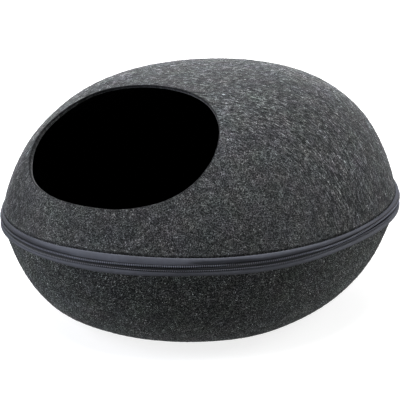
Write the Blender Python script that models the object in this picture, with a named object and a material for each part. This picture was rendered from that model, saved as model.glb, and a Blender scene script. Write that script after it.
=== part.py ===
"""Felt cat cave: an egg of two moulded felt shells that a zip joins round its middle.

The upper shell is a dome with an oval entrance cut through its front, the lower shell is a bowl
with a flat base. The zip's two tapes are sewn on the outside of the shells' lips, and a row of
coil runs along the inner edge of each tape. +Z is up, -Y is the entrance's end, and the origin is
on the floor under the middle of the egg. All sizes are in metres.
"""

import math

import bmesh
import bpy
import numpy as np

# Plan of the egg along the zip line.
HALF_LENGTH = 0.235
HALF_WIDTH = 0.1985
PLAN_POWER = 2.05
FRONT_SWELL = 0.039

# Upper shell, above the zip line.
DOME_HEIGHT = 0.147
DOME_RISE_POWER = 1.77
DOME_ROUND_POWER = 2.9
DOME_FLARE = 0.0022
DOME_FLARE_REACH = 0.033

# Lower shell, below the zip line.
BOWL_DEPTH = 0.1155
BOWL_FALL_POWER = 1.56
BOWL_ROUND_POWER = 2.39
BOWL_FLARE = 0.0038
BOWL_FLARE_REACH = 0.0175
BASE_SHARE = 0.42
BASE_FORWARD = 0.007

# Entrance: an oval in plan, cut square to the felt.
ENTRANCE_BEHIND_FRONT = 0.086
ENTRANCE_HALF_WIDTH = 0.107
ENTRANCE_HALF_DEPTH = 0.0735

# Felt.
FELT_THICKNESS = 0.0045
FELT_EDGE_ROUND = 0.0008
LIP_HALF_GAP = 0.0005

# Zip: heights are measured from the zip line, and depths outward from the plan.
UPPER_TAPE_TOP = 0.0096
LOWER_TAPE_BOTTOM = 0.0081
COIL_HALF_HEIGHT = 0.0031
COIL_CLEAR = 0.0003
COIL_PROUD = 0.0060
UPPER_TAPE_EDGE = 0.0009
LOWER_TAPE_EDGE = 0.0014
TAPE_AT_COIL = 0.0052
TAPE_BULGE = 0.0005
TOUCH_GAP = 0.0003

# Mesh steps.
COLUMNS = 72
DOME_ROWS = 13
BOWL_ROWS = 12
BASE_ROWS = 3
LIP_ROW = 0.002
TAPE_STEPS = 3
COIL_STEPS = 3
CURVE_SAMPLES = 400

ANGLES = [2.0 * math.pi * column / COLUMNS for column in range(COLUMNS)]


def signed_power(value, power):
    """Raise the size of a number to a power and keep its sign."""
    return math.copysign(abs(value) ** power, value)


def outline(angle):
    """Point of the zip line in plan; angle 0 is the back and half a turn the front."""
    along = signed_power(math.cos(angle), 2.0 / PLAN_POWER)
    across = signed_power(math.sin(angle), 2.0 / PLAN_POWER)
    return np.array((HALF_WIDTH * across * (1.0 - FRONT_SWELL * along), HALF_LENGTH * along))


def outward(angle):
    """Unit normal of the zip line in plan."""
    step = 0.01
    tangent = outline(angle + step) - outline(angle - step)
    normal = np.array((tangent[1], -tangent[0]))
    normal *= math.copysign(1.0, normal @ outline(angle))
    return normal / np.linalg.norm(normal)


def flare(height, amount, reach):
    """Outward flare of a shell's lip at a distance from the zip line."""
    return amount * math.exp(-((height / reach) ** 2))


def dome_flare(height):
    """Flare of the dome's outer face at a height above the zip line."""
    return flare(height, DOME_FLARE, DOME_FLARE_REACH)


def bowl_flare(depth):
    """Flare of the bowl's outer face at a depth below the zip line."""
    return flare(depth, BOWL_FLARE, BOWL_FLARE_REACH)


def dome_section(turn):
    """Share of the plan and of the height at a turn from the crown, 0, to the lip, pi / 2."""
    share = math.sin(turn) ** (2.0 / DOME_ROUND_POWER)
    rise = max(math.cos(turn), 0.0) ** (2.0 / DOME_RISE_POWER)
    return share, rise


def bowl_section(turn):
    """Share of the plan and of the depth at a turn from the lip, 0, to the base, pi / 2."""
    narrowing = max(math.cos(turn), 0.0) ** (2.0 / BOWL_ROUND_POWER)
    fall = math.sin(turn) ** (2.0 / BOWL_FALL_POWER)
    return BASE_SHARE + (1.0 - BASE_SHARE) * narrowing, fall


def travelled(section, height):
    """Turns of a section, and the share of its length passed at each of them."""
    radius = math.sqrt(HALF_LENGTH * HALF_WIDTH)
    turns = np.linspace(0.0, math.pi / 2.0, CURVE_SAMPLES)
    points = np.array([section(turn) for turn in turns]) * (radius, height)
    steps = np.linalg.norm(np.diff(points, axis=0), axis=1)
    passed = np.concatenate(([0.0], np.cumsum(steps)))
    return turns, passed / passed[-1], passed[-1]


DOME_TURNS, DOME_PASSED, DOME_LENGTH = travelled(dome_section, DOME_HEIGHT)
BOWL_TURNS, BOWL_PASSED, BOWL_LENGTH = travelled(bowl_section, BOWL_DEPTH)


def dome_point(angle, passed):
    """Point of the dome's outer face; passed runs from 0 at the crown to 1 at the lip."""
    share, rise = dome_section(np.interp(passed, DOME_PASSED, DOME_TURNS))
    height = LIP_HALF_GAP + (DOME_HEIGHT - LIP_HALF_GAP) * rise
    plan = outline(angle) * share + outward(angle) * dome_flare(height)
    return plan[0], plan[1], BOWL_DEPTH + height


def bowl_point(angle, passed):
    """Point of the bowl's outer face; passed runs from 0 at the lip to 1 at the base's edge."""
    share, fall = bowl_section(np.interp(passed, BOWL_PASSED, BOWL_TURNS))
    depth = LIP_HALF_GAP + (BOWL_DEPTH - LIP_HALF_GAP) * fall
    plan = outline(angle) * share + outward(angle) * bowl_flare(depth)
    return plan[0], plan[1] - BASE_FORWARD * fall, BOWL_DEPTH - depth


def unrolled(x, y):
    """Flat map of a plan point on the dome: its distance from the crown at its own angle."""
    share = 1.0
    along = 0.0
    for _ in range(12):
        width = HALF_WIDTH * (1.0 - FRONT_SWELL * along)
        total = abs(x / width) ** PLAN_POWER + abs(y / HALF_LENGTH) ** PLAN_POWER
        share = total ** (1.0 / PLAN_POWER)
        along = y / (HALF_LENGTH * share)
    across = x / (width * share)
    cosine = signed_power(along, PLAN_POWER / 2.0)
    sine = signed_power(across, PLAN_POWER / 2.0)
    turn = math.asin(min(share ** (DOME_ROUND_POWER / 2.0), 1.0))
    passed = np.interp(turn, DOME_TURNS, DOME_PASSED)
    return np.array((passed * sine, passed * cosine))


def entrance_edge():
    """Flat map of the entrance's edge, with its middle, and its reach in each direction."""
    middle_y = ENTRANCE_BEHIND_FRONT - HALF_LENGTH
    middle = unrolled(0.0, middle_y)
    edge = []
    for turn in np.linspace(0.0, 2.0 * math.pi, CURVE_SAMPLES, endpoint=False):
        x = ENTRANCE_HALF_WIDTH * math.sin(turn)
        y = middle_y + ENTRANCE_HALF_DEPTH * math.cos(turn)
        edge.append(unrolled(x, y) - middle)
    edge = np.array(edge)
    headings = np.arctan2(edge[:, 0], edge[:, 1])
    order = np.argsort(headings)
    return middle, headings[order], np.linalg.norm(edge, axis=1)[order]


def dome_rings():
    """Rings of the dome's outer face, from the entrance's edge out to the lip."""
    middle, headings, reach = entrance_edge()
    above_lip = 1.0 - LIP_ROW / DOME_LENGTH
    rings = [[] for _ in range(DOME_ROWS + 2)]
    for angle in ANGLES:
        outer = above_lip * np.array((math.sin(angle), math.cos(angle)))
        way = outer - middle
        heading = math.atan2(way[0], way[1])
        inner = np.interp(heading, headings, reach, period=2.0 * math.pi)
        start = middle + way * inner / np.linalg.norm(way)
        for row in range(DOME_ROWS + 1):
            spot = start + (outer - start) * row / DOME_ROWS
            rings[row].append(dome_point(math.atan2(spot[0], spot[1]), np.linalg.norm(spot)))
        rings[-1].append(dome_point(angle, 1.0))
    return rings


def bowl_rings():
    """Rings of the bowl's outer face, from the lip down to the base's edge and inward."""
    below_lip = LIP_ROW / BOWL_LENGTH
    stops = [0.0]
    stops += [below_lip + (1.0 - below_lip) * row / BOWL_ROWS for row in range(BOWL_ROWS + 1)]
    rings = [[bowl_point(angle, stop) for angle in ANGLES] for stop in stops]
    edge = np.array(rings[-1])
    centre = np.array((0.0, -BASE_FORWARD, 0.0))
    for row in range(1, BASE_ROWS):
        rings.append([tuple(point) for point in centre + (edge - centre) * (1.0 - row / BASE_ROWS)])
    return rings, tuple(centre)


def link(mesh, lower, upper):
    """Join two rings of vertices by a band of faces."""
    count = len(lower)
    for column in range(count):
        following = (column + 1) % count
        mesh.faces.new((lower[column], lower[following], upper[following], upper[column]))


def felt_material():
    """Charcoal felt."""
    return material("charcoal_felt", (0.050, 0.052, 0.055, 1.0), 0.95)


def material(name, colour, roughness):
    """Principled material of one colour."""
    made = bpy.data.materials.new(name)
    made.use_nodes = True
    shader = made.node_tree.nodes["Principled BSDF"]
    shader.inputs["Base Color"].default_value = colour
    shader.inputs["Roughness"].default_value = roughness
    shader.inputs["Metallic"].default_value = 0.0
    return made


def add_object(name, mesh, finish):
    """Turn a bmesh into a smooth shaded object with one material."""
    bmesh.ops.recalc_face_normals(mesh, faces=mesh.faces)
    data = bpy.data.meshes.new(name)
    mesh.to_mesh(data)
    mesh.free()
    data.shade_smooth()
    data.set_sharp_from_angle(angle=math.radians(50.0))
    data.materials.append(finish)
    made = bpy.data.objects.new(name, data)
    bpy.context.scene.collection.objects.link(made)
    return made


def add_felt_wall(made):
    """Give a shell's outer face its felt thickness, inward, with softened cut edges."""
    wall = made.modifiers.new("felt", "SOLIDIFY")
    wall.thickness = FELT_THICKNESS
    wall.offset = -1.0
    wall.use_even_offset = True
    edges = made.modifiers.new("cut edges", "BEVEL")
    edges.width = FELT_EDGE_ROUND
    edges.segments = 1
    edges.limit_method = "ANGLE"
    edges.angle_limit = math.radians(50.0)


def add_shell(name, rings, tip, finish):
    """Build a felt shell from rings of its outer face; tip closes the last ring, or is None."""
    mesh = bmesh.new()
    rows = [[mesh.verts.new(point) for point in ring] for ring in rings]
    for lower, upper in zip(rows, rows[1:]):
        link(mesh, lower, upper)
    if tip is not None:
        centre = mesh.verts.new(tip)
        for column, vertex in enumerate(rows[-1]):
            mesh.faces.new((vertex, rows[-1][(column + 1) % COLUMNS], centre))
    made = add_object(name, mesh, finish)
    add_felt_wall(made)
    return made


def add_band(name, section, finish):
    """Sweep a closed section, of depths and heights from the zip line, round the egg."""
    mesh = bmesh.new()
    rows = []
    for depth, height in section:
        row = []
        for angle in ANGLES:
            plan = outline(angle) + outward(angle) * depth
            row.append(mesh.verts.new((plan[0], plan[1], BOWL_DEPTH + height)))
        rows.append(row)
    for lower, upper in zip(rows, rows[1:] + rows[:1]):
        link(mesh, lower, upper)
    return add_object(name, mesh, finish)


def tape_section(lip_flare, edge, edge_thickness, side):
    """Section of a zip tape from its free edge to the coil; side is 1 above, -1 below."""
    inner_end = COIL_HALF_HEIGHT + COIL_CLEAR
    inside = []
    outside = []
    free_depth = lip_flare(edge) + TOUCH_GAP + edge_thickness
    for step in range(TAPE_STEPS + 1):
        part = step / TAPE_STEPS
        height = edge + (inner_end - edge) * part
        bulge = TAPE_BULGE * math.sin(math.pi * part)
        inside.append((lip_flare(height) + TOUCH_GAP, side * height))
        outside.append((free_depth + (TAPE_AT_COIL - free_depth) * part + bulge, side * height))
    return inside + outside[::-1]


def coil_section(lip_flare, side):
    """Section of one row of the zip's coil: a flat back and a rounded front."""
    inside = lip_flare(0.0) + TOUCH_GAP
    middle = (COIL_HALF_HEIGHT + COIL_CLEAR / 2.0) / 2.0
    half = (COIL_HALF_HEIGHT - COIL_CLEAR / 2.0) / 2.0
    section = [(inside, side * (middle + half)), (inside, side * (middle - half))]
    for step in range(COIL_STEPS + 1):
        turn = math.pi * (step / COIL_STEPS - 0.5)
        depth = inside + (COIL_PROUD - inside) * (0.45 + 0.55 * math.cos(turn))
        section.append((depth, side * (middle + half * math.sin(turn))))
    return section


def build():
    """Build the cave's six pieces."""
    for old in list(bpy.data.objects):
        bpy.data.objects.remove(old)
    felt = felt_material()
    tape = material("zip_tape", (0.070, 0.075, 0.092, 1.0), 0.55)
    coil = material("zip_coil", (0.035, 0.037, 0.047, 1.0), 0.50)
    add_shell("felt_dome", dome_rings(), None, felt)
    rings, centre = bowl_rings()
    add_shell("felt_bowl", rings, centre, felt)
    upper = tape_section(dome_flare, UPPER_TAPE_TOP, UPPER_TAPE_EDGE, 1.0)
    lower = tape_section(bowl_flare, LOWER_TAPE_BOTTOM, LOWER_TAPE_EDGE, -1.0)
    add_band("zip_tape_upper", upper, tape)
    add_band("zip_tape_lower", lower, tape)
    add_band("zip_coil_upper", coil_section(dome_flare, 1.0), coil)
    add_band("zip_coil_lower", coil_section(bowl_flare, -1.0), coil)


build()
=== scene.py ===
"""Looks of a felt cat cave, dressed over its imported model.

An egg of two moulded shells of charcoal felt: a dome with an oval entrance over a bowl with a flat
base, joined round the middle by a zip. Each shell, each zip tape and each row of the zip's coil is
a class that builds its meshes from the same named sizes as the solids and gives them their finish.
All sizes are in metres, +Z is up, -Y is the entrance's end and the origin is on the floor.
"""

import logging
import math
from dataclasses import dataclass
from enum import Enum, IntEnum
from typing import Callable, ClassVar, Mapping, Sequence

import bpy
import numpy as np
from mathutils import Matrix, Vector, noise


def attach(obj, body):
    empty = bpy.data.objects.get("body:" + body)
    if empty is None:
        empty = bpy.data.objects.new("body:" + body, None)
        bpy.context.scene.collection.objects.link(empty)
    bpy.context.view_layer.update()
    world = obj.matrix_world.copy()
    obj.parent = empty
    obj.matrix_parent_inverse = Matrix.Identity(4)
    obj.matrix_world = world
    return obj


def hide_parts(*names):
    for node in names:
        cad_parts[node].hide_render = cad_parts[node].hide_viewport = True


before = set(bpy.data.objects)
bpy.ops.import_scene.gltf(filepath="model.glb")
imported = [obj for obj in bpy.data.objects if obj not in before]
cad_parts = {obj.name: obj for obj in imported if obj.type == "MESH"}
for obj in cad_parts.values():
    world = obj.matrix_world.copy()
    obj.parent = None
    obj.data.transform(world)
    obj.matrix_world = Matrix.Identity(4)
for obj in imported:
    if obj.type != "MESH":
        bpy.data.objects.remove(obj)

LOG = logging.getLogger("cat_cave")
BODY = "root"
FULL_TURN = 2.0 * math.pi
QUARTER_TURN = 0.5 * math.pi
DEGREES_ROUND = 360.0
MM_IN_METRE = 1000.0
TINY = 1e-12

Numbers = np.ndarray
Pair = tuple[float, float]
Triple = tuple[float, float, float]
Mesh = bpy.types.Mesh
Piece = bpy.types.Object
Socket = bpy.types.NodeSocket
Sockets = Mapping[str, Socket]
Section = Callable[[Numbers], tuple[Numbers, Numbers]]


class Slot(Enum):
    """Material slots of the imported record."""

    FELT = "charcoal_felt"
    TAPE = "zip_tape"
    COIL = "zip_coil"


class Side(Enum):
    """The two sides of the zip line."""

    UPPER = 1.0
    LOWER = -1.0


class FeltPart(IntEnum):
    """Parts of a felt wall, each with its own finish."""

    OUTSIDE = 0
    CUT_OUTER_PAINTED_SHADE = 1
    CUT_INNER_LAYER = 2
    INSIDE = 3


# ----- Form of the egg -----


def signed_power(value: Numbers, power: float) -> Numbers:
    """Raise the size of numbers to a power and keep their sign."""
    return np.copysign(np.abs(value) ** power, value)


def smooth_step(value: Numbers, low: float, high: float) -> Numbers:
    """Ramp from 0 at low to 1 at high, level at both ends."""
    part = np.clip((value - low) / (high - low), 0.0, 1.0)
    return part * part * (3.0 - 2.0 * part)


def mound(away: Numbers, reach: float) -> Numbers:
    """Soft mound, 1 where away is 0 and fading over the reach."""
    return np.exp(-((away / reach) ** 2))


def unit(vectors: Numbers) -> Numbers:
    """Directions of vectors, each of length 1."""
    return vectors / np.linalg.norm(vectors, axis=-1, keepdims=True)


@dataclass(frozen=True)
class RoundTable:
    """A length in millimetres by degrees round a closed line, 0 at the back and 90 at +X."""

    marks: tuple[Pair, ...]
    spacing: float = 2.0
    neighbours: int = 3

    def at(self, angles: Numbers) -> Numbers:
        """The length at turns round the line, softened between the marks.

        Args:
            angles: Turns in radians.

        Returns:
            Lengths in metres.
        """
        turns, lengths = np.array(self.marks).T
        fine = np.arange(0.0, DEGREES_ROUND, self.spacing)
        coarse = np.interp(fine, turns, lengths, period=DEGREES_ROUND)
        shifts = range(-self.neighbours, self.neighbours + 1)
        soft = sum(np.roll(coarse, shift) for shift in shifts) / len(shifts)
        return np.interp(np.degrees(angles), fine, soft, period=DEGREES_ROUND) / MM_IN_METRE


@dataclass(frozen=True)
class EggForm:
    """Outer form of the egg that both felt shells are moulded to."""

    half_length: float = 0.235
    half_width: float = 0.1985
    plan_power: float = 2.05
    front_swell: float = 0.039
    dome_height: float = 0.147
    dome_rise_power: float = 1.77
    dome_round_power: float = 2.9
    dome_lip_flare: float = 0.0022
    dome_flare_reach: float = 0.033
    bowl_depth: float = 0.1155
    bowl_fall_power: float = 1.56
    bowl_round_power: float = 2.39
    bowl_lip_flare: float = 0.0038
    bowl_flare_reach: float = 0.0175
    base_share: float = 0.42
    base_forward: float = 0.007
    lip_half_gap: float = 0.0005
    entrance_behind_front: float = 0.086
    entrance_half_width: float = 0.107
    entrance_half_depth: float = 0.0735
    section_samples: int = 600
    entrance_samples: int = 2400
    line_samples: int = 12000
    tangent_step: float = 0.01
    solving_rounds: int = 12

    @property
    def entrance_y(self) -> float:
        """Place of the entrance's middle along the egg."""
        return self.entrance_behind_front - self.half_length

    def outline(self, angle: Numbers) -> Numbers:
        """Points of the zip line in plan.

        Args:
            angle: Turns round the egg, 0 at the back and pi at the front.

        Returns:
            The points, two numbers each.
        """
        along = signed_power(np.cos(angle), 2.0 / self.plan_power)
        across = signed_power(np.sin(angle), 2.0 / self.plan_power)
        wide = self.half_width * across * (1.0 - self.front_swell * along)
        return np.stack((wide, self.half_length * along), axis=-1)

    def outward(self, angle: Numbers) -> Numbers:
        """Unit normals of the zip line in plan.

        Args:
            angle: Turns round the egg.

        Returns:
            The normals, two numbers each.
        """
        step = self.tangent_step
        tangent = self.outline(angle + step) - self.outline(angle - step)
        normal = np.stack((tangent[..., 1], -tangent[..., 0]), axis=-1)
        side = np.sign(np.sum(normal * self.outline(angle), axis=-1, keepdims=True))
        return unit(normal * side)

    def lip(self, side: Side) -> Pair:
        """How far a shell's lip flares, and how far from the zip line the flare reaches.

        Args:
            side: The shell's side of the zip.

        Returns:
            The flare and its reach.
        """
        if side is Side.UPPER:
            return self.dome_lip_flare, self.dome_flare_reach
        return self.bowl_lip_flare, self.bowl_flare_reach

    def flare(self, side: Side, away: Numbers) -> Numbers:
        """Outward flare of a shell's lip at distances from the zip line."""
        lip_flare, reach = self.lip(side)
        return lip_flare * mound(away, reach)

    def dome_section(self, turn: Numbers) -> tuple[Numbers, Numbers]:
        """Shares of the plan and of the height, from the crown at 0 to the lip at pi / 2."""
        share = np.sin(turn) ** (2.0 / self.dome_round_power)
        return share, np.maximum(np.cos(turn), 0.0) ** (2.0 / self.dome_rise_power)

    def bowl_section(self, turn: Numbers) -> tuple[Numbers, Numbers]:
        """Shares of the plan and of the depth, from the lip at 0 to the base at pi / 2.

        Args:
            turn: Turns along the section.

        Returns:
            The shares of the plan and of the depth.
        """
        narrowing = np.maximum(np.cos(turn), 0.0) ** (2.0 / self.bowl_round_power)
        share = self.base_share + (1.0 - self.base_share) * narrowing
        return share, np.sin(turn) ** (2.0 / self.bowl_fall_power)

    def section_line(self, section: Section, height: float) -> tuple[Numbers, Numbers]:
        """A section at the egg's mean radius.

        Args:
            section: The section's shares at given turns.
            height: The section's full height or depth.

        Returns:
            Its turns, and a point at each.
        """
        radius = math.sqrt(self.half_length * self.half_width)
        turns = np.linspace(0.0, QUARTER_TURN, self.section_samples)
        return turns, np.stack(section(turns), axis=-1) * (radius, height)

    def travelled(self, section: Section, height: float) -> tuple[Numbers, Numbers]:
        """Turns of a section and the share of its length passed at each.

        Args:
            section: The section's shares at given turns.
            height: The section's full height or depth.

        Returns:
            The turns and the shares of length.
        """
        turns, points = self.section_line(section, height)
        passed = np.cumsum(np.linalg.norm(np.diff(points, axis=0, prepend=points[:1]), axis=1))
        return turns, passed / passed[-1]

    def shell_point(self, side: Side, angle: Numbers, passed: Numbers) -> Numbers:
        """Points of a shell's outer face.

        Args:
            side: The shell's side of the zip.
            angle: Turns round the egg.
            passed: Share of the way down the shell: crown to lip, or lip to the base's edge.

        Returns:
            The points, three numbers each.
        """
        upper = side is Side.UPPER
        section = self.dome_section if upper else self.bowl_section
        full = self.dome_height if upper else self.bowl_depth
        turns, shares = self.travelled(section, full)
        share, rise = section(np.interp(passed, shares, turns))
        away = self.lip_half_gap + (full - self.lip_half_gap) * rise
        flare = self.flare(side, away)[..., None]
        plan = self.outline(angle) * share[..., None] + self.outward(angle) * flare
        if not upper:
            plan[..., 1] -= self.base_forward * rise
        height = self.bowl_depth + side.value * away
        return np.concatenate((plan, height[..., None]), axis=-1)

    def unrolled(self, x: Numbers, y: Numbers) -> Numbers:
        """Flat map of plan points on the dome: distance from the crown at their own angle.

        Args:
            x: Places across the egg.
            y: Places along the egg.

        Returns:
            The points of the flat map, two numbers each.
        """
        along = np.zeros_like(y)
        for _ in range(self.solving_rounds):
            width = self.half_width * (1.0 - self.front_swell * along)
            total = np.abs(x / width) ** self.plan_power
            total = total + np.abs(y / self.half_length) ** self.plan_power
            share = total ** (1.0 / self.plan_power)
            along = y / (self.half_length * share)
        cosine = signed_power(along, self.plan_power / 2.0)
        sine = signed_power(x / (width * share), self.plan_power / 2.0)
        turn = np.arcsin(np.minimum(share ** (self.dome_round_power / 2.0), 1.0))
        passed = np.interp(turn, *self.travelled(self.dome_section, self.dome_height))
        return np.stack((passed * sine, passed * cosine), axis=-1)

    def dome_rows(
        self, angles: Numbers, rows: int, near_lip: Numbers, rim_shift: RoundTable
    ) -> Numbers:
        """Rows of the dome's outer face, from the entrance's edge out to the lip.

        Args:
            angles: Turns of the columns round the egg.
            rows: Number of even rows between the entrance's edge and the rows near the lip.
            near_lip: Falling distances of the rows near the lip from the zip line, ending at 0.
            rim_shift: How far the entrance's edge stands outside its oval, by turns round it.

        Returns:
            The points, by row and column.
        """
        middle = self.unrolled(np.zeros(1), np.full(1, self.entrance_y))[0]
        turn = np.linspace(0.0, FULL_TURN, self.entrance_samples, endpoint=False)
        x = self.entrance_half_width * np.sin(turn)
        y = self.entrance_y + self.entrance_half_depth * np.cos(turn)
        edge = self.unrolled(x, y) - middle
        headings = np.arctan2(edge[:, 0], edge[:, 1])
        order = np.argsort(headings)
        _, line = self.section_line(self.dome_section, self.dome_height)
        length = np.sum(np.linalg.norm(np.diff(line, axis=0), axis=1))
        shift = rim_shift.at(np.arctan2(x, y - self.entrance_y)) / length
        reach = (np.linalg.norm(edge, axis=1) + shift)[order]
        outer = np.stack((np.sin(angles), np.cos(angles)), axis=-1)
        way = outer - middle
        heading = np.arctan2(way[:, 0], way[:, 1])
        inner = np.interp(heading, headings[order], reach, period=FULL_TURN)
        start = middle + way * (inner / np.linalg.norm(way, axis=1))[:, None]
        nearing = np.sum((outer - start) * outer, axis=1)
        ends = 1.0 - near_lip[:, None] / length / nearing
        evenly = np.linspace(0.0, 1.0, rows + 1)[:-1, None] * ends[0]
        stops = np.concatenate((evenly, ends))
        spots = start + (outer - start) * stops[..., None]
        passed = np.minimum(np.linalg.norm(spots, axis=-1), 1.0)
        return self.shell_point(Side.UPPER, np.arctan2(spots[..., 0], spots[..., 1]), passed)

    def line_lengths(self) -> tuple[Numbers, Numbers]:
        """Fine turns round the zip line, and the distance from the back to each.

        Returns:
            The turns and the distances.
        """
        fine = np.linspace(0.0, FULL_TURN, self.line_samples + 1)
        steps = np.linalg.norm(np.diff(self.outline(fine), axis=0), axis=1)
        return fine, np.concatenate(([0.0], np.cumsum(steps)))

    def even_angles(self, count: int) -> Numbers:
        """Turns of a number of points spaced evenly along the zip line."""
        fine, length = self.line_lengths()
        return np.interp(np.arange(count) / count * length[-1], length, fine)

    def length_at(self, angles: Numbers) -> Numbers:
        """Distance along the zip line from the back to each turn."""
        return np.interp(angles, *self.line_lengths())


# ----- Meshes -----


def grid_normals(rows: Numbers) -> Numbers:
    """Unit normals of a grid of points whose columns close round.

    Args:
        rows: Points by row and column.

    Returns:
        The normals, by row and column.
    """
    across = np.roll(rows, -1, axis=1) - np.roll(rows, 1, axis=1)
    normal = np.cross(across, np.gradient(rows, axis=0))
    size = np.linalg.norm(normal, axis=-1, keepdims=True)
    return normal / np.maximum(size, TINY)


def band_faces(rows: int, columns: int, closed_rows: bool) -> Numbers:
    """Quads of a grid whose columns close round.

    Args:
        rows: Number of rows.
        columns: Number of columns.
        closed_rows: True if the last row joins the first.

    Returns:
        Four vertex numbers for each quad, by row and column.
    """
    bands = np.arange(rows if closed_rows else rows - 1)
    row, column = np.meshgrid(bands, np.arange(columns), indexing="ij")
    start, above = row * columns, (row + 1) % rows * columns
    following = (column + 1) % columns
    corners = (start + column, start + following, above + following, above + column)
    return np.stack(corners, axis=-1).reshape(-1, 4)


def fill_mesh(name: str, points: Numbers, faces: Sequence[Numbers]) -> Mesh:
    """Make a mesh from arrays.

    Args:
        name: The mesh's name.
        points: The vertices, by row and column or in one row.
        faces: Arrays of faces, each with one number of corners.

    Returns:
        The mesh, smooth shaded.
    """
    corners = np.concatenate([face.ravel() for face in faces]).astype(np.int32)
    totals = np.concatenate([np.full(len(face), face.shape[1]) for face in faces])
    starts = np.concatenate(([0], np.cumsum(totals)[:-1])).astype(np.int32)
    mesh = bpy.data.meshes.new(name)
    mesh.vertices.add(points.size // 3)
    mesh.vertices.foreach_set("co", points.astype(np.float32).ravel())
    mesh.loops.add(len(corners))
    mesh.loops.foreach_set("vertex_index", corners)
    mesh.polygons.add(len(totals))
    mesh.polygons.foreach_set("loop_start", starts)
    mesh.update(calc_edges=True)
    mesh.validate()
    mesh.shade_smooth()
    return mesh


def face_outward(mesh: Mesh) -> None:
    """Turn a closed mesh's faces outward if they face in.

    Args:
        mesh: The closed mesh.
    """
    points = np.empty(len(mesh.vertices) * 3, np.float32)
    mesh.vertices.foreach_get("co", points)
    points = points.reshape(-1, 3).astype(float)
    mesh.calc_loop_triangles()
    corners = np.empty(len(mesh.loop_triangles) * 3, np.int32)
    mesh.loop_triangles.foreach_get("vertices", corners)
    first, second, third = points[corners.reshape(-1, 3)].transpose(1, 0, 2)
    if np.sum(first * np.cross(second, third)) < 0.0:
        mesh.flip_normals()


def add_piece(name: str, mesh: Mesh) -> Piece:
    """Put a mesh in the scene as a piece of the cave.

    Args:
        name: The piece's name.
        mesh: Its mesh.

    Returns:
        The piece, riding on the cave's only body.
    """
    piece = bpy.data.objects.new(name, mesh)
    bpy.context.scene.collection.objects.link(piece)
    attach(piece, BODY)
    return piece


def dress_mesh(mesh: Mesh, finishes: Sequence["Finish"], numbers: Numbers | None = None) -> None:
    """Give a mesh its finishes in order.

    Args:
        mesh: The mesh.
        finishes: The finishes.
        numbers: The number of each face's finish, where there are several.
    """
    for finish in finishes:
        mesh.materials.append(finish.material())
    if numbers is not None:
        mesh.polygons.foreach_set("material_index", numbers.astype(np.int32))


def rolling_noise(points: Numbers, reach: float, seed: float) -> Numbers:
    """Smooth noise at points, between about -1 and 1.

    Args:
        points: The points.
        reach: Distance between the noise's swells.
        seed: Shift of the noise.

    Returns:
        The noise at each point.
    """
    flat = points.reshape(-1, 3) / reach + seed
    values = [noise.noise(Vector(point)) for point in flat]
    return np.array(values).reshape(points.shape[:-1])


@dataclass(frozen=True)
class Waver:
    """Unevenness of made cloth: its height, the reach of its swells, and its shift of the noise."""

    height: float
    reach: float
    seed: float = 0.0

    def at(self, points: Numbers, shift: float = 0.0) -> Numbers:
        """How far the cloth wavers at points, with a further shift of the noise."""
        return self.height * rolling_noise(points, self.reach, self.seed + shift)


def rounded(values: Sequence[Pair], steps: int) -> Numbers:
    """Smooth closed loop through points of a section.

    Args:
        values: The section's points.
        steps: Points made for each of them.

    Returns:
        The loop's points.
    """
    start = np.array(values)
    before, end, after = (np.roll(start, -step, axis=0) for step in (-1, 1, 2))
    loop = []
    for part in np.arange(steps) / steps:
        rising = 2.0 * start + (end - before) * part
        bending = (2.0 * before - 5.0 * start + 4.0 * end - after) * part**2
        easing = (3.0 * start - before - 3.0 * end + after) * part**3
        loop.append(0.5 * (rising + bending + easing))
    return np.stack(loop, axis=1).reshape(-1, 2)


# ----- Shader nodes and the effects that finishes share -----

WHITE = (1.0, 1.0, 1.0, 1.0)


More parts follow.
